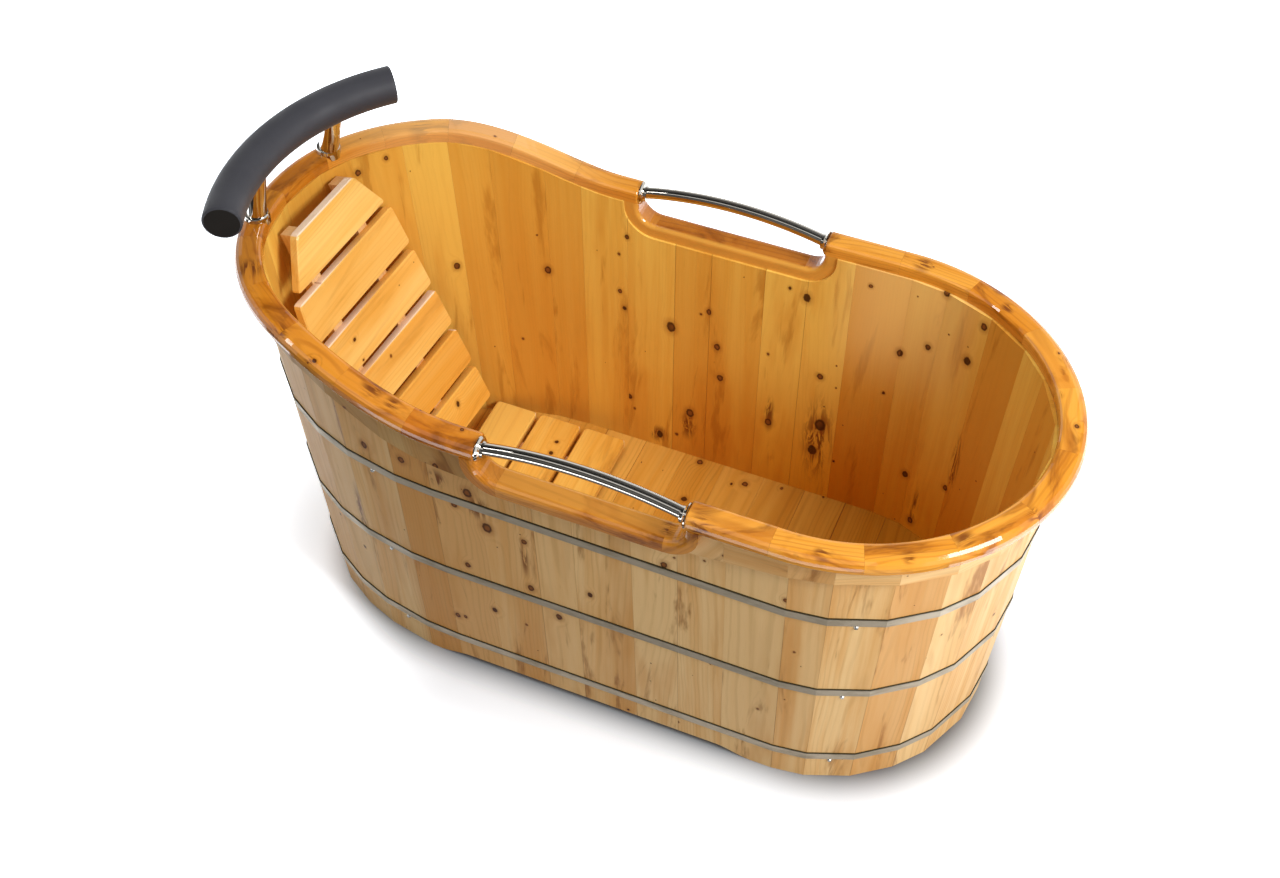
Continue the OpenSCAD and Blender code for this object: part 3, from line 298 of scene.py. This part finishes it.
class WoodGraph(Graph):
    """Board wood. The grain attribute runs along, across and through each board, the luck
    attribute holds three random numbers for each board, and the colour is laid on in steps."""

    def __init__(self, name, outside, inside):
        super().__init__(name)
        self.x, self.y, self.z = self.split(self.here())
        self.u, self.v, self.w = self.split(self.attribute("grain"))
        self.luck = tuple(self.split(self.attribute("luck")))
        self.shift = self.vector(*(self.mul(n, k) for n, k in zip(self.luck, (31.0, 47.0, 23.0))))
        self.wobble = self.mul(self.centred(self.figure(WOBBLE)), KNOT_WOBBLE)
        self.fibre = self.figure(FIBRE)
        self.inner = self.span(self.w, FACES_APART, -FACES_APART)
        self.two_faced = inside is not None
        self.tones = outside
        if self.two_faced:
            self.tones = Tones(*(self.mix(self.inner, a, b) for a, b in zip(outside, inside)))

    def centred(self, value):
        return self.sub(value, 0.5)

    def figure(self, look, across=None):
        """Noise along the board, or the share of it that comes in between the figure's ends."""
        ways = (self.u, self.v if across is None else across, self.w)
        n = self.node("ShaderNodeVectorMath", operation="ADD")
        self.feed(n.inputs[0], self.vector(*(self.mul(a, k) for a, k in zip(ways, look.cycles))))
        self.feed(n.inputs[1], self.shift)
        noise = self.noise(n.outputs[0], 1.0, look.detail, look.rough, look.distortion)
        return noise if look.ends is None else self.span(noise, *look.ends)

    def over(self, factor, depth, colour, blend="MIX"):
        """Lays a colour over what is there."""
        self.base = self.mix(self.mul(factor, depth), self.base, colour, blend)

    def knot_layer(self, chance, cell, small, large, seed):
        """Distance in knot radii to knots that lie in some cells of a pattern along the board."""
        pu = self.add(self.mul(self.u, 1.0 / cell), self.mul(self.luck[0], 57.0 + seed))
        pv = self.add(self.mul(self.v, KNOT_STRETCH / cell), self.mul(self.luck[1], 71.0 + seed))
        n = self.node("ShaderNodeTexVoronoi", voronoi_dimensions="2D", feature="F1")
        self.feed(n.inputs["Vector"], self.vector(pu, pv, 0.0))
        n.inputs["Scale"].default_value = 1.0
        n.inputs["Randomness"].default_value = 0.9
        chosen, spread, _ = self.split(n.outputs["Color"])
        reach = self.add(self.mul(n.outputs["Distance"], cell), self.wobble)
        size = self.add(small, self.mul(self.math("POWER", spread, 3.0), large - small))
        away = self.mul(self.math("LESS_THAN", chosen, 1.0 - chance), FAR_FROM_KNOTS)
        return self.add(self.math("DIVIDE", reach, size), away)

    def nearest_knot(self, share, places):
        """Distance to the nearest knot in knot radii, of the patterns and of the photograph."""
        layers = [{**layer, "chance": share * layer["chance"]} for layer in (LARGE_KNOTS, SMALL_KNOTS)]
        near = self.math("MINIMUM", *(self.knot_layer(**layer) for layer in layers))
        squeezed = self.vector(self.x, self.y, self.mul(self.z, KNOT_SQUEEZE))
        for px, py, pz, radius in places:
            reach = self.add(self.gap(squeezed, (px, py, pz * KNOT_SQUEEZE)), self.wobble)
            near = self.math("MINIMUM", near, self.mul(reach, MILLIMETRES / radius))
        return near

    def late_wood(self, near):
        """Growth rings round a pith line that lies somewhere behind the board."""
        sway = self.mul(self.centred(self.figure(SWAY)), RING_SWAY)
        drift = self.mul(self.centred(self.figure(DRIFT)), RING_DRIFT)
        aside = self.mul(self.centred(self.luck[1]), PITH_ASIDE)
        behind = self.add(PITH_NEAR, self.mul(self.luck[2], PITH_RANGE))
        across = self.add(self.add(self.v, sway), aside)
        depth = self.add(self.add(self.w, drift), behind)
        radius = self.math("SQRT", self.add(self.mul(across, across), self.mul(depth, depth)))
        radius = self.add(radius, self.mul(self.span(near, *PUSH_ENDS), RING_PUSH))
        wave = self.math("SINE", self.mul(radius, 2 * math.pi / RING_GAP))
        uneven = self.span(self.figure(UNEVEN), *UNEVEN_ENDS, *UNEVEN_DEPTHS)
        return self.mul(self.span(wave, *LATE_ENDS), uneven)

    def lay_grain(self, late, rings, vary):
        """Colour of the boards: light and middle streaks, rings, and some boards redder."""
        light, middle, dark, red = self.tones
        self.base = self.mix(self.figure(STREAK), light, middle)
        self.over(self.figure(BROAD), DEPTH["broad"], red)
        redder = self.span(self.luck[0], *REDDER_BOARDS, kind="LINEAR")
        self.over(redder, DEPTH["redder"] * vary, red)
        self.over(self.span(self.luck[2], *LIGHTER_BOARDS), DEPTH["lighter"] * vary, light)
        depth = DEPTH["rings"] * rings
        if self.two_faced:
            depth = self.span(self.inner, 0.0, 1.0, depth, DEPTH["inner_rings"] * rings)
        self.over(late, depth, dark)
        self.over(self.figure(CLOUD), DEPTH["cloud"] * vary, red)
        self.over(self.span(self.fibre, *FIBRE_ENDS), DEPTH["fibre"], dark)

    def lay_heartwood(self, strength):
        """Long dark streaks that slant a little from board to board."""
        slope = self.mul(self.centred(self.luck[1]), 0.20)
        slanted = self.add(self.v, self.mul(self.u, slope))
        depth = self.span(self.inner, 1.0, 0.0, DEPTH["outer_heart"] * strength, strength)
        colour = self.mix(self.inner, HEART_OUTSIDE, HEART_INSIDE)
        self.over(self.figure(HEART, across=slanted), depth, colour)

    def lay_stain(self, strength):
        """Flames and burls of lacquered wood."""
        self.over(self.figure(FLAME), DEPTH["flame"] * strength, FLAME_BROWN)
        self.over(self.figure(BURL), strength, BURL_BROWN)

    def edge_gap(self):
        """Distance from the nearer long edge of the board."""
        a, b, _ = self.split(self.attribute("seams"))
        return self.math("MINIMUM", a, b)

    def lay_smears(self, smears):
        """Dark torn grain at the given places."""
        torn = self.figure(TORN)
        for px, py, pz, wide, tall in smears:
            scaled = self.vector(self.mul(self.x, 1 / wide), self.mul(self.y, 1 / wide),
                                 self.mul(self.z, 1 / tall))
            reach = self.gap(scaled, (px / wide, py / wide, pz / tall))
            self.over(self.mul(self.span(reach, *SMEAR_ENDS), torn), DEPTH["smear"], SMEAR_BROWN)

    def lay_tints(self, tints):
        """Slow changes of colour with the place on the tub, among them painted shade and painted
        light, on the inner faces if there are two.
        """
        for tint in tints:
            part = 1.0
            for value, ends in ((self.x, tint.lengths), (self.y, tint.widths),
                                (self.z, tint.heights)):
                if ends:
                    part = self.mul(self.span(value, *ends), part)
            if self.two_faced:
                part = self.mul(part, self.inner)
            self.over(part, tint.strength, tint.colour, tint.blend)

    def lay_lining(self, colour):
        """Paler band where a sill turns to the inside of the tub."""
        inner = self.span(self.math("ABSOLUTE", self.y), *LINING_FACE)
        self.over(inner, DEPTH["lining"], colour)

    def lay_knots(self, near, core):
        """Halo, core and eye of each knot."""
        self.over(self.span(near, *HALO_ENDS), DEPTH["halo"], KNOT_HALO)
        self.over(core, DEPTH["core"], KNOT_CORE)
        eye = self.mul(self.span(near, *EYE_ENDS), self.figure(EYE))
        self.over(eye, DEPTH["eye"], KNOT_EYE)

    def finish(self, gloss, late, core, line):
        """Roughness, lacquer and bump."""
        rough = self.add(gloss.rough, self.mul(self.centred(self.figure(POLISH)), POLISH_ROUGH))
        self.set(Base_Color=self.base, Roughness=self.add(rough, self.mul(core, KNOT_ROUGH)),
                 Coat_Weight=gloss.coat, Coat_Roughness=gloss.coat_rough, Coat_IOR=LACQUER_IOR,
                 IOR=WOOD_IOR, Specular_IOR_Level=gloss.specular)
        layers = dict(late=late, fibre=self.fibre, core=core)
        if line is not None:
            layers["line"] = line
        height = 0.0
        for key, layer in layers.items():
            height = self.add(height, self.mul(layer, RELIEF[key]))
        self.bump(height, gloss.bump, GRAIN_BUMP)


def wood(name, outside, gloss, inside=None, knots=1.0, knot_places=(), rings=1.0, vary=1.0,
         streaks=0.0, stain=0.0, seams=0.0, edges=0.0, smears=(), tints=(), lining=None):
    """Board wood with its tones outside, and inside where they differ."""
    g = WoodGraph(name, outside, inside)
    near = g.nearest_knot(knots, knot_places)
    core = g.span(near, *CORE_ENDS)
    late = g.late_wood(near)
    line = None
    g.lay_grain(late, rings, vary)
    if streaks:
        g.lay_heartwood(streaks)
    if stain:
        g.lay_stain(stain)
    if seams:
        line = g.span(g.edge_gap(), *SEAM_LINE)
        g.over(line, seams, SEAM_BROWN)
    # Painted highlight: a pale band along the long edges of each board
    if edges:
        g.over(g.span(g.edge_gap(), *PALE_EDGE), edges, PAINTED_EDGE_HIGHLIGHT)
    if smears:
        g.lay_smears(smears)
    g.lay_tints(tints)
    if lining:
        g.lay_lining(lining)
    g.lay_knots(near, core)
    g.finish(gloss, late, core, line)
    return g.material


def tones(*texts):
    return Tones(*(srgb(text) for text in texts))


OUTSIDE = tones("f4cc90", "e6b06c", "aa7434", "d4954e")
INSIDE = tones("f5c95e", "ebb54c", "b07020", "da9634")
PLANED = Gloss(rough=0.50, coat=0.10, coat_rough=0.30, bump=0.20, specular=0.12)
LACQUERED = Gloss(rough=0.26, coat=1.0, coat_rough=0.04, bump=0.08, specular=0.08)


def stave_wood():
    """Boards of the tub: golden inside, pale outside. Inside they carry painted shade, darker low down
    and to the foot end, and painted light high on the far wall to the foot end.
    """
    # Painted shade: inside, darker and deeper orange low down and towards the foot end
    deep = Tint("MULTIPLY", (0.90, 0.70, 0.26, 1.0), 1.0, lengths=(-0.35, 0.30), heights=(0.46, 0.06))
    # Painted light: inside, paler high on the far wall towards the foot end
    pale = Tint("MIX", srgb("fad890"), 0.40, (0.20, 0.32), (0.26, 0.30), (0.35, 0.55))
    return wood("stave_wood", OUTSIDE, PLANED, INSIDE, knots=0.5, knot_places=wall_knots, rings=0.6,
                vary=1.3, streaks=0.75, seams=0.35, smears=WALL_SMEARS, tints=(deep, pale))


def apron_wood():
    """Boards under the rim, darker and greyer to the head end: painted shade."""
    # Painted shade: darker and greyer to the head end, under the rim
    grey = Tint("MULTIPLY", (0.68, 0.64, 0.56, 1.0), 1.0, lengths=(0.25, -0.05))
    return wood("apron_wood", OUTSIDE, PLANED, knot_places=wall_knots, rings=0.6, streaks=0.8,
                smears=WALL_SMEARS, tints=(grey,))


def rim_wood():
    """Lacquered rim, deeper in colour on the near head side and paler on the far head side."""
    deep = Tint("MULTIPLY", (0.86, 0.74, 0.50, 1.0), 1.0, (-0.05, -0.40), (0.05, -0.15))
    pale = Tint("MIX", srgb("f4c480"), 0.45, (-0.15, -0.40), (0.10, 0.24))
    return wood("rim_wood", tones("eca642", "de9024", "985010", "c87418"), LACQUERED, knots=0.8,
                stain=0.75, smears=rim_smears, tints=(deep, pale))


def sill_wood():
    """Lining of the notches."""
    return wood("sill_wood", tones("e0983c", "c87e20", "8a4610", "b46414"), LACQUERED, knots=0.8,
                vary=1.3, stain=0.75, smears=rim_smears, lining=srgb("e6a848"))


def floor_wood():
    """Floor boards, darker to the foot end: painted shade."""
    # Painted shade: darker towards the foot end
    deep = Tint("MULTIPLY", (0.62, 0.48, 0.18, 1.0), 1.0, lengths=(0.0, 0.45))
    gloss = Gloss(rough=0.34, coat=0.5, coat_rough=0.15, bump=0.12, specular=0.08)
    return wood("floor_wood", tones("eab456", "dca040", "9a641c", "cc8a2c"), gloss,
                knot_places=floor_knots, rings=0.8, seams=0.7, tints=(deep,))


def slat_wood():
    """Slats with a painted highlight along their edges, and a little darker low down: painted shade.
    """
    # Painted shade: a little darker low down
    deep = Tint("MULTIPLY", (0.95, 0.90, 0.66, 1.0), 1.0, heights=(0.50, 0.10))
    gloss = Gloss(rough=0.36, coat=0.35, coat_rough=0.14, bump=0.12, specular=0.10)
    return wood("slat_wood", tones("fad27c", "f3be60", "c88636", "e8a640"), gloss, knots=0.2,
                knot_places=slat_knots, rings=0.6, vary=1.2, streaks=0.35, edges=0.8, tints=(deep,))


def batten_wood():
    """Rougher wood of the battens."""
    gloss = Gloss(rough=0.5, coat=0.1, coat_rough=0.3, bump=0.15, specular=0.2)
    return wood("batten_wood", tones("f0c890", "e4b478", "b07c40", "d49c58"), gloss, knots=0.4)


# Metals, foam and rubber
def chrome():
    """Polished chrome with faint smudges."""
    g = Graph("chrome_metal")
    place = g.here()
    smudge = g.noise(place, 26.0, 3.0)
    g.set(Base_Color=g.mix(smudge, srgb("dad6ce"), srgb("c6c1b8")), Metallic=1.0,
          Roughness=g.span(smudge, 0.35, 0.75, 0.035, 0.09))
    g.bump(g.noise(place, 9.0), 0.04, 0.001)
    return g.material


def steel(name, light, dark, rough, metallic=0.9, band=False):
    """Dull rolled steel: fine lines along the band and cloudy stains. A band has a painted shadow line
    along its top edge.
    """
    g = Graph(name)
    x, y, z = g.split(g.here())
    lines = g.noise(g.vector(g.mul(x, 6.0), g.mul(y, 6.0), g.mul(z, 900.0)))
    cloud = g.noise(g.vector(x, y, g.mul(z, 3.0)), 14.0, 4.0, 0.6)
    base = g.mix(g.span(cloud, 0.35, 0.7), srgb(light), srgb(dark))
    base = g.mix(g.mul(lines, 0.30), base, srgb("6a6354"))
    if band:
        # Painted shadow: a dark line along the top edge of the hoop
        across = g.split(g.attribute("band"))[0]
        edge = g.add(across, g.mul(g.sub(cloud, 0.5), 0.20))
        base = g.mix(g.span(edge, 0.62, 0.86), base, srgb("3a331a"))
    g.set(Base_Color=base, Metallic=metallic,
          Roughness=g.span(cloud, 0.3, 0.7, rough - 0.06, rough + 0.1))
    g.bump(lines, 0.12, 0.0002)
    return g.material


def foam(name, light, dark, sheen):
    """Black foam: fine pores and, where it has a skin, a soft sheen."""
    g = Graph(name)
    place = g.here()
    pores = g.noise(place, 900.0, 3.0, 0.7)
    cloud = g.noise(place, 18.0, 4.0)
    g.set(Base_Color=g.mix(cloud, srgb(light), srgb(dark)),
          Roughness=g.span(cloud, 0.3, 0.7, 0.50, 0.62), Sheen_Weight=sheen, Sheen_Roughness=0.45,
          Specular_IOR_Level=3 * sheen)
    g.bump(g.add(g.mul(pores, 0.6), g.mul(cloud, 0.8)), 0.25, 0.0006)
    return g.material


def rubber():
    """Matte black rubber of the gasket."""
    g = Graph("gasket_rubber")
    grain = g.noise(g.here(), 240.0, 3.0)
    g.set(Base_Color=g.mix(grain, srgb("1d1d1e"), srgb("2a2a2b")), Roughness=0.7)
    g.bump(grain, 0.2, 0.0004)
    return g.material


# Board coordinates for the CAD nodes made of wood
SAME_PLACE = 5e-6
SIDE_SHARE = 0.75
OVAL_SPINE = (-0.25, 0.37)


def points_of(mesh):
    co = np.zeros(len(mesh.vertices) * 3)
    mesh.vertices.foreach_get("co", co)
    return co.reshape(-1, 3)


def solids_of(mesh, co):
    """Solid number of each vertex, with vertices that share a place taken as one."""
    cells = np.round(co / SAME_PLACE).astype(np.int64)
    _, same = np.unique(cells, axis=0, return_inverse=True)
    same = same.ravel()
    edges = np.zeros(len(mesh.edges) * 2, np.int64)
    mesh.edges.foreach_get("vertices", edges)
    a, b = same[edges.reshape(-1, 2)].T
    label = np.arange(same.max() + 1)
    while True:
        before = label.copy()
        np.minimum.at(label, a, label[b])
        np.minimum.at(label, b, label[a])
        label = label[label]
        if (label == before).all():
            return label[same]


def board_axes(co, mesh, mask):
    """Centre and axes of one board from its surface: along, across, through."""
    mesh.calc_loop_triangles()
    tri = np.zeros(len(mesh.loop_triangles) * 3, np.int64)
    mesh.loop_triangles.foreach_get("vertices", tri)
    tri = tri.reshape(-1, 3)
    tri = tri[mask[tri[:, 0]]]
    p = co[tri]
    area = np.linalg.norm(np.cross(p[:, 1] - p[:, 0], p[:, 2] - p[:, 0]), axis=1)
    centre = (p.mean(1) * area[:, None]).sum(0) / area.sum()
    q = p - centre
    spread = sum(np.einsum("i,ij,ik->jk", area, q[:, i], q[:, i]) for i in range(3))
    _, vectors = np.linalg.eigh(spread)
    return centre, vectors[:, 2], vectors[:, 1], vectors[:, 0]


def seam_gaps(q, a, b):
    """Distance of each point of a tapered board from its two long edges."""
    along, across = q @ a, q @ b
    gaps = []
    for way in (1, -1):
        side = way * across
        edge = side > side.max() * SIDE_SHARE
        slope, _ = np.polyfit(along[edge], side[edge], 1)
        rise = side - slope * along
        gaps.append(rise.max() - rise)
    return np.stack([gaps[0], gaps[1], np.zeros(len(q))], 1)


def write(mesh, key, values):
    mesh.attributes.new(key, "FLOAT_VECTOR", "POINT").data.foreach_set("vector", values.ravel())


def give_grain(name, seed):
    """Writes the grain, luck and seams attributes of a CAD node. They don't move its mesh."""
    mesh = nodes[name].data
    co = points_of(mesh)
    label = solids_of(mesh, co)
    grain, luck, seams = (np.zeros((len(co), 3), np.float32) for _ in range(3))
    for k, solid in enumerate(np.unique(label)):
        mask = label == solid
        centre, a, b, n = board_axes(co, mesh, mask)
        spine = np.array([min(max(centre[0], OVAL_SPINE[0]), OVAL_SPINE[1]), 0.0, centre[2]])
        n = n * (1.0 if n @ (centre - spine) >= 0 else -1.0)
        q = co[mask] - centre
        grain[mask] = np.stack([q @ a, q @ b, q @ n], 1)
        seams[mask] = seam_gaps(q, a, b)
        luck[mask] = np.random.default_rng(seed * 1000 + k).random(3)
    write(mesh, "grain", grain)
    write(mesh, "luck", luck)
    write(mesh, "seams", seams)


def give_band(name):
    """Writes how far across a hoop each point lies, from -1 to 1. A hoop may lean."""
    mesh = nodes[name].data
    co = points_of(mesh)
    slope, level = np.polyfit(co[:, 0], co[:, 2], 1)
    rise = co[:, 2] - level - slope * co[:, 0]
    band = np.zeros((len(co), 3), np.float32)
    band[:, 0] = rise / rise.max()
    write(mesh, "band", band)


def dress(name, material):
    for slot in nodes[name].material_slots:
        slot.material = material
    if not nodes[name].material_slots:
        nodes[name].data.materials.append(material)


looks = {
    "stave_wood": stave_wood(),
    "apron_wood": apron_wood(),
    "rim_wood": rim_wood(),
    "sill_wood": sill_wood(),
    "floor_wood": floor_wood(),
    "slat_wood": slat_wood(),
    "batten_wood": batten_wood(),
    "chrome": chrome(),
    "hoop_steel": steel("hoop_steel", "beb09a", "a2947e", 0.46, metallic=0.4, band=True),
    "screw_steel": steel("screw_steel", "c8c8c4", "a8a8a4", 0.26),
    "foam": foam("foam_skin", "3c3c41", "323237", sheen=0.10),
    "foam_cut": foam("foam_cut", "302d2b", "282624", sheen=0.0),
    "gasket_rubber": rubber(),
}
slot_of = {s["node"]: s["material_slot"] for s in frame["record"]["subparts"]}
for k, name in enumerate(sorted(nodes)):
    slot = slot_of[name]
    if slot.endswith("_wood"):
        give_grain(name, seed=k)
    if slot == "hoop_steel":
        give_band(name)
    dress(name, looks["sill_wood" if name.startswith("notch_") else slot])


# Headrest roll: a bent foam tube with soft edges at its flat ends
ROLL_REACH, ROLL_HEIGHT = 0.685, 0.921
ROLL_HALF_CHORD, ROLL_BOW = 0.220, 0.071
ROLL_TURN = math.radians(10.8)
ROLL_RADIUS, ROLL_EDGE = 0.0335, 0.004
ROLL_SIDES, ROLL_STEPS, EDGE_STEPS = 64, 60, 5


def roll_stations(length):
    """Place along the roll and radius of each ring, with a quarter round at both ends."""
    flat = ROLL_RADIUS - ROLL_EDGE
    ends = []
    for k in range(EDGE_STEPS + 1):
        a = math.pi / 2 * k / EDGE_STEPS
        ends.append((ROLL_EDGE * (1 - math.cos(a)), flat + ROLL_EDGE * math.sin(a)))
    straight = length - 2 * ROLL_EDGE
    middle = [(ROLL_EDGE + straight * k / ROLL_STEPS, ROLL_RADIUS) for k in range(1, ROLL_STEPS)]
    return ends + middle + [(length - s, q) for s, q in reversed(ends)]


def roll_mesh():
    """Rings round a level arc, joined by faces and closed by two caps."""
    r = (ROLL_HALF_CHORD ** 2 + ROLL_BOW ** 2) / (2 * ROLL_BOW)
    spread = math.asin(ROLL_HALF_CHORD / r)
    centre = Vector((-ROLL_REACH + r * math.cos(ROLL_TURN), -r * math.sin(ROLL_TURN), ROLL_HEIGHT))
    stations = roll_stations(2 * spread * r)
    verts, faces = [], []
    for s, q in stations:
        a = math.pi - ROLL_TURN - spread + s / r
        out = Vector((math.cos(a), math.sin(a), 0))
        for k in range(ROLL_SIDES):
            t = 2 * math.pi * k / ROLL_SIDES
            verts.append(centre + out * (r + q * math.cos(t)) + Vector((0, 0, q * math.sin(t))))
    for i in range(len(stations) - 1):
        here, there = i * ROLL_SIDES, (i + 1) * ROLL_SIDES
        for k in range(ROLL_SIDES):
            n = (k + 1) % ROLL_SIDES
            faces.append((here + k, here + n, there + n, there + k))
    faces.append(tuple(range(ROLL_SIDES - 1, -1, -1)))
    faces.append(tuple(range(len(verts) - ROLL_SIDES, len(verts))))
    mesh = bpy.data.meshes.new("headrest_foam")
    mesh.from_pydata([tuple(p) for p in verts], [], faces)
    mesh.update()
    for p in mesh.polygons:
        cap = len(p.vertices) > 4
        p.use_smooth = not cap
        p.material_index = 1 if cap else 0
    return mesh


def roll_piece():
    mesh = roll_mesh()
    piece = bpy.data.objects.new("headrest_foam", mesh)
    scene.collection.objects.link(piece)
    mesh.materials.append(looks["foam"])
    mesh.materials.append(looks["foam_cut"])
    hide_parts("headrest_roll")
    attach(piece, "tub")


roll_piece()


# Floor, lamps, flags, world and camera
FLOOR_HALF, FLOOR_DROP = 12.0, 0.0005
# The tub's foot is a line along X with round ends, and the painted soft shadow on the floor goes by
# the distance from it.
FOOT_MIDDLE = (0.004, -0.018)
FOOT_LINE = (-0.345, 0.385)
# Painted shadow: the floor's shown colour is dark next to the tub's foot and fades out over the first
# two ranges
PAINTED_SHADOW_CORE, SOFT_SHADOW, FAR_FLOOR = (0.250, 0.368), (0.350, 0.700), (0.900, 3.000)
# Painted light: towards the head end the floor shows brighter, over the lamps' own shadow there
HEAD_END, HEAD_PAINTED_LIGHT = (-0.25, -0.62), (1.12, 2.20)
FAR_WHITE = 3.5
# Painted cool tint that offsets the warm light the tub throws on the floor's shadow
FLOOR_TINT = (0.96, 1.0, 1.05)
# Cards over and in front of the tub as lines of Y and Z, all this far to both sides along X
CARD_HALF = 4.0
CARDS = (((3.4, 3.5), (-1.7, 3.5)),
         ((-2.3, 3.2), (-3.6, 1.8), (-4.2, 0.02), (-2.6, 0.02)),
         ((-1.4, 0.02), (-0.44, 0.02)))
WORLD_LIGHT, WORLD_SEEN = 0.24, 1.0
# Name, place, target, size, power in watts, and whether it shows in reflections
LAMPS = (
    ("top", (-0.3, 0.2, 3.2), (-0.1, 0.0, 0.4), (2.2, 2.0), 38, False),
    ("key", (2.7, -0.75, 2.5), (0.0, 0.0, 0.4), (1.3, 1.3), 98, True),
    ("front", (-0.8, -3.0, 1.9), (0.0, 0.0, 0.4), (2.0, 1.2), 6.5, False),
    ("low", (2.3, -1.5, 0.9), (0.5, -0.2, 0.35), (1.0, 1.0), 10, False),
    ("edge", (-2.5, -1.5, 2.7), (-0.5, -0.2, 0.7), (0.12, 1.6), 8, True),
)


def grey(level):
    return (level, level, level, 1.0)


def seen_rays(tree):
    """One for camera, glossy and transmission rays, nought for all others."""
    path = tree.nodes.new("ShaderNodeLightPath")
    out = path.outputs["Is Camera Ray"]
    for key in ("Is Glossy Ray", "Is Transmission Ray"):
        n = tree.nodes.new("ShaderNodeMath")
        n.operation = "MAXIMUM"
        tree.links.new(out, n.inputs[0])
        tree.links.new(path.outputs[key], n.inputs[1])
        out = n.outputs[0]
    return out


def sheet(name, verts, faces, material):
    """Flat stage object of one material."""
    mesh = bpy.data.meshes.new(name)
    mesh.from_pydata(verts, [], faces)
    mesh.materials.append(material)
    thing = bpy.data.objects.new(name, mesh)
    scene.collection.objects.link(thing)
    return thing


def floor_look():
    """Pale floor that shows white, with a painted shadow close round the front and foot of the tub,
    and painted light over the lamps' shadow at the head end.
    """
    g = Graph("floor_painted_shadow_and_light")
    place = g.here()
    plain = g.mix(g.noise(place, 40.0), grey(0.30), grey(0.32))
    x, y, _ = g.split(place)
    x, y = g.sub(x, FOOT_MIDDLE[0]), g.sub(y, FOOT_MIDDLE[1])
    spine = g.math("MINIMUM", g.math("MAXIMUM", x, FOOT_LINE[0]), FOOT_LINE[1])
    reach = g.gap(g.vector(x, y, 0.0), g.vector(spine, 0.0, 0.0))
    # Painted shadow close round the tub's foot
    white = g.span(reach, *PAINTED_SHADOW_CORE, 0.0, g.span(x, *HEAD_END, *HEAD_PAINTED_LIGHT))
    white = g.add(white, g.span(reach, *SOFT_SHADOW))
    white = g.add(white, g.span(reach, *FAR_FLOOR, 0.0, FAR_WHITE))
    cool = g.vector(*(g.mul(white, k) for k in FLOOR_TINT))
    g.set(Base_Color=g.mix(seen_rays(g.tree), plain, cool), Roughness=1.0, Specular_IOR_Level=0.0)
    return g.material


def make_floor():
    corners = [(x * FLOOR_HALF, y * FLOOR_HALF, 0) for x, y in ((-1, -1), (1, -1), (1, 1), (-1, 1))]
    sheet("studio_floor", corners, [(0, 1, 2, 3)], floor_look()).location.z = -FLOOR_DROP


def aim(thing, place, target):
    thing.location = place
    thing.rotation_mode = "QUATERNION"
    thing.rotation_quaternion = (Vector(target) - Vector(place)).to_track_quat("-Z", "Y")


def make_lamp(name, place, target, size, power, shine):
    data = bpy.data.lights.new(name, "AREA")
    data.shape = "RECTANGLE"
    data.size, data.size_y = size
    data.energy = power
    lamp = bpy.data.objects.new(name, data)
    scene.collection.objects.link(lamp)
    lamp.visible_glossy = shine
    aim(lamp, place, target)


def card_look():
    """Black cloth with paler strips, and pale towards the far side."""
    g = Graph("flag_cloth")
    _, y, z = g.split(g.here())
    back = g.span(y, 0.4, 1.8)
    strip = g.span(g.noise(g.vector(0.0, g.mul(y, 2.6), g.mul(z, 2.6)), detail=1.0), 0.48, 0.56)
    pale = g.math("MAXIMUM", g.mul(back, 0.8), g.mul(strip, 0.45))
    g.set(Base_Color=g.mix(pale, grey(0.03), grey(0.9)), Roughness=1.0, Specular_IOR_Level=0.0)
    return g.material


def make_cards():
    """Cards over the tub, with a slot in front, that only show in metal and lacquer."""
    verts, faces = [], []
    for card in CARDS:
        for k, (y, z) in enumerate(card):
            verts += [(-CARD_HALF, y, z), (CARD_HALF, y, z)]
            if k:
                n = len(verts)
                faces.append((n - 4, n - 3, n - 1, n - 2))
    cards = sheet("flag_cards", verts, faces, card_look())
    cards.visible_camera = cards.visible_diffuse = False
    cards.visible_shadow = cards.visible_transmission = False


def make_world():
    """White where it is seen, and weaker as light."""
    world = bpy.data.worlds.new("studio")
    world.use_nodes = True
    tree = world.node_tree
    tree.nodes.clear()
    out = tree.nodes.new("ShaderNodeOutputWorld")
    back = tree.nodes.new("ShaderNodeBackground")
    strength = tree.nodes.new("ShaderNodeMapRange")
    strength.inputs["To Min"].default_value = WORLD_LIGHT
    strength.inputs["To Max"].default_value = WORLD_SEEN
    back.inputs["Color"].default_value = grey(1.0)
    tree.links.new(seen_rays(tree), strength.inputs["Value"])
    tree.links.new(strength.outputs[0], back.inputs["Strength"])
    tree.links.new(back.outputs[0], out.inputs["Surface"])
    scene.world = world


def make_camera():
    """Camera matched to the photograph."""
    data = bpy.data.cameras.new("camera")
    data.sensor_width = 36.0
    data.sensor_fit = "HORIZONTAL"
    data.lens = data.sensor_width * FOCAL / PICTURE[0]
    data.clip_start, data.clip_end = 0.05, 60
    camera = bpy.data.objects.new("camera", data)
    scene.collection.objects.link(camera)
    m = Matrix(camera_axes()).transposed().to_4x4()
    m.translation = CAMERA_PLACE
    camera.matrix_world = m
    scene.camera = camera


make_floor()
for lamp in LAMPS:
    make_lamp(*lamp)
make_cards()
make_world()
make_camera()
scene.view_settings.view_transform = "Standard"
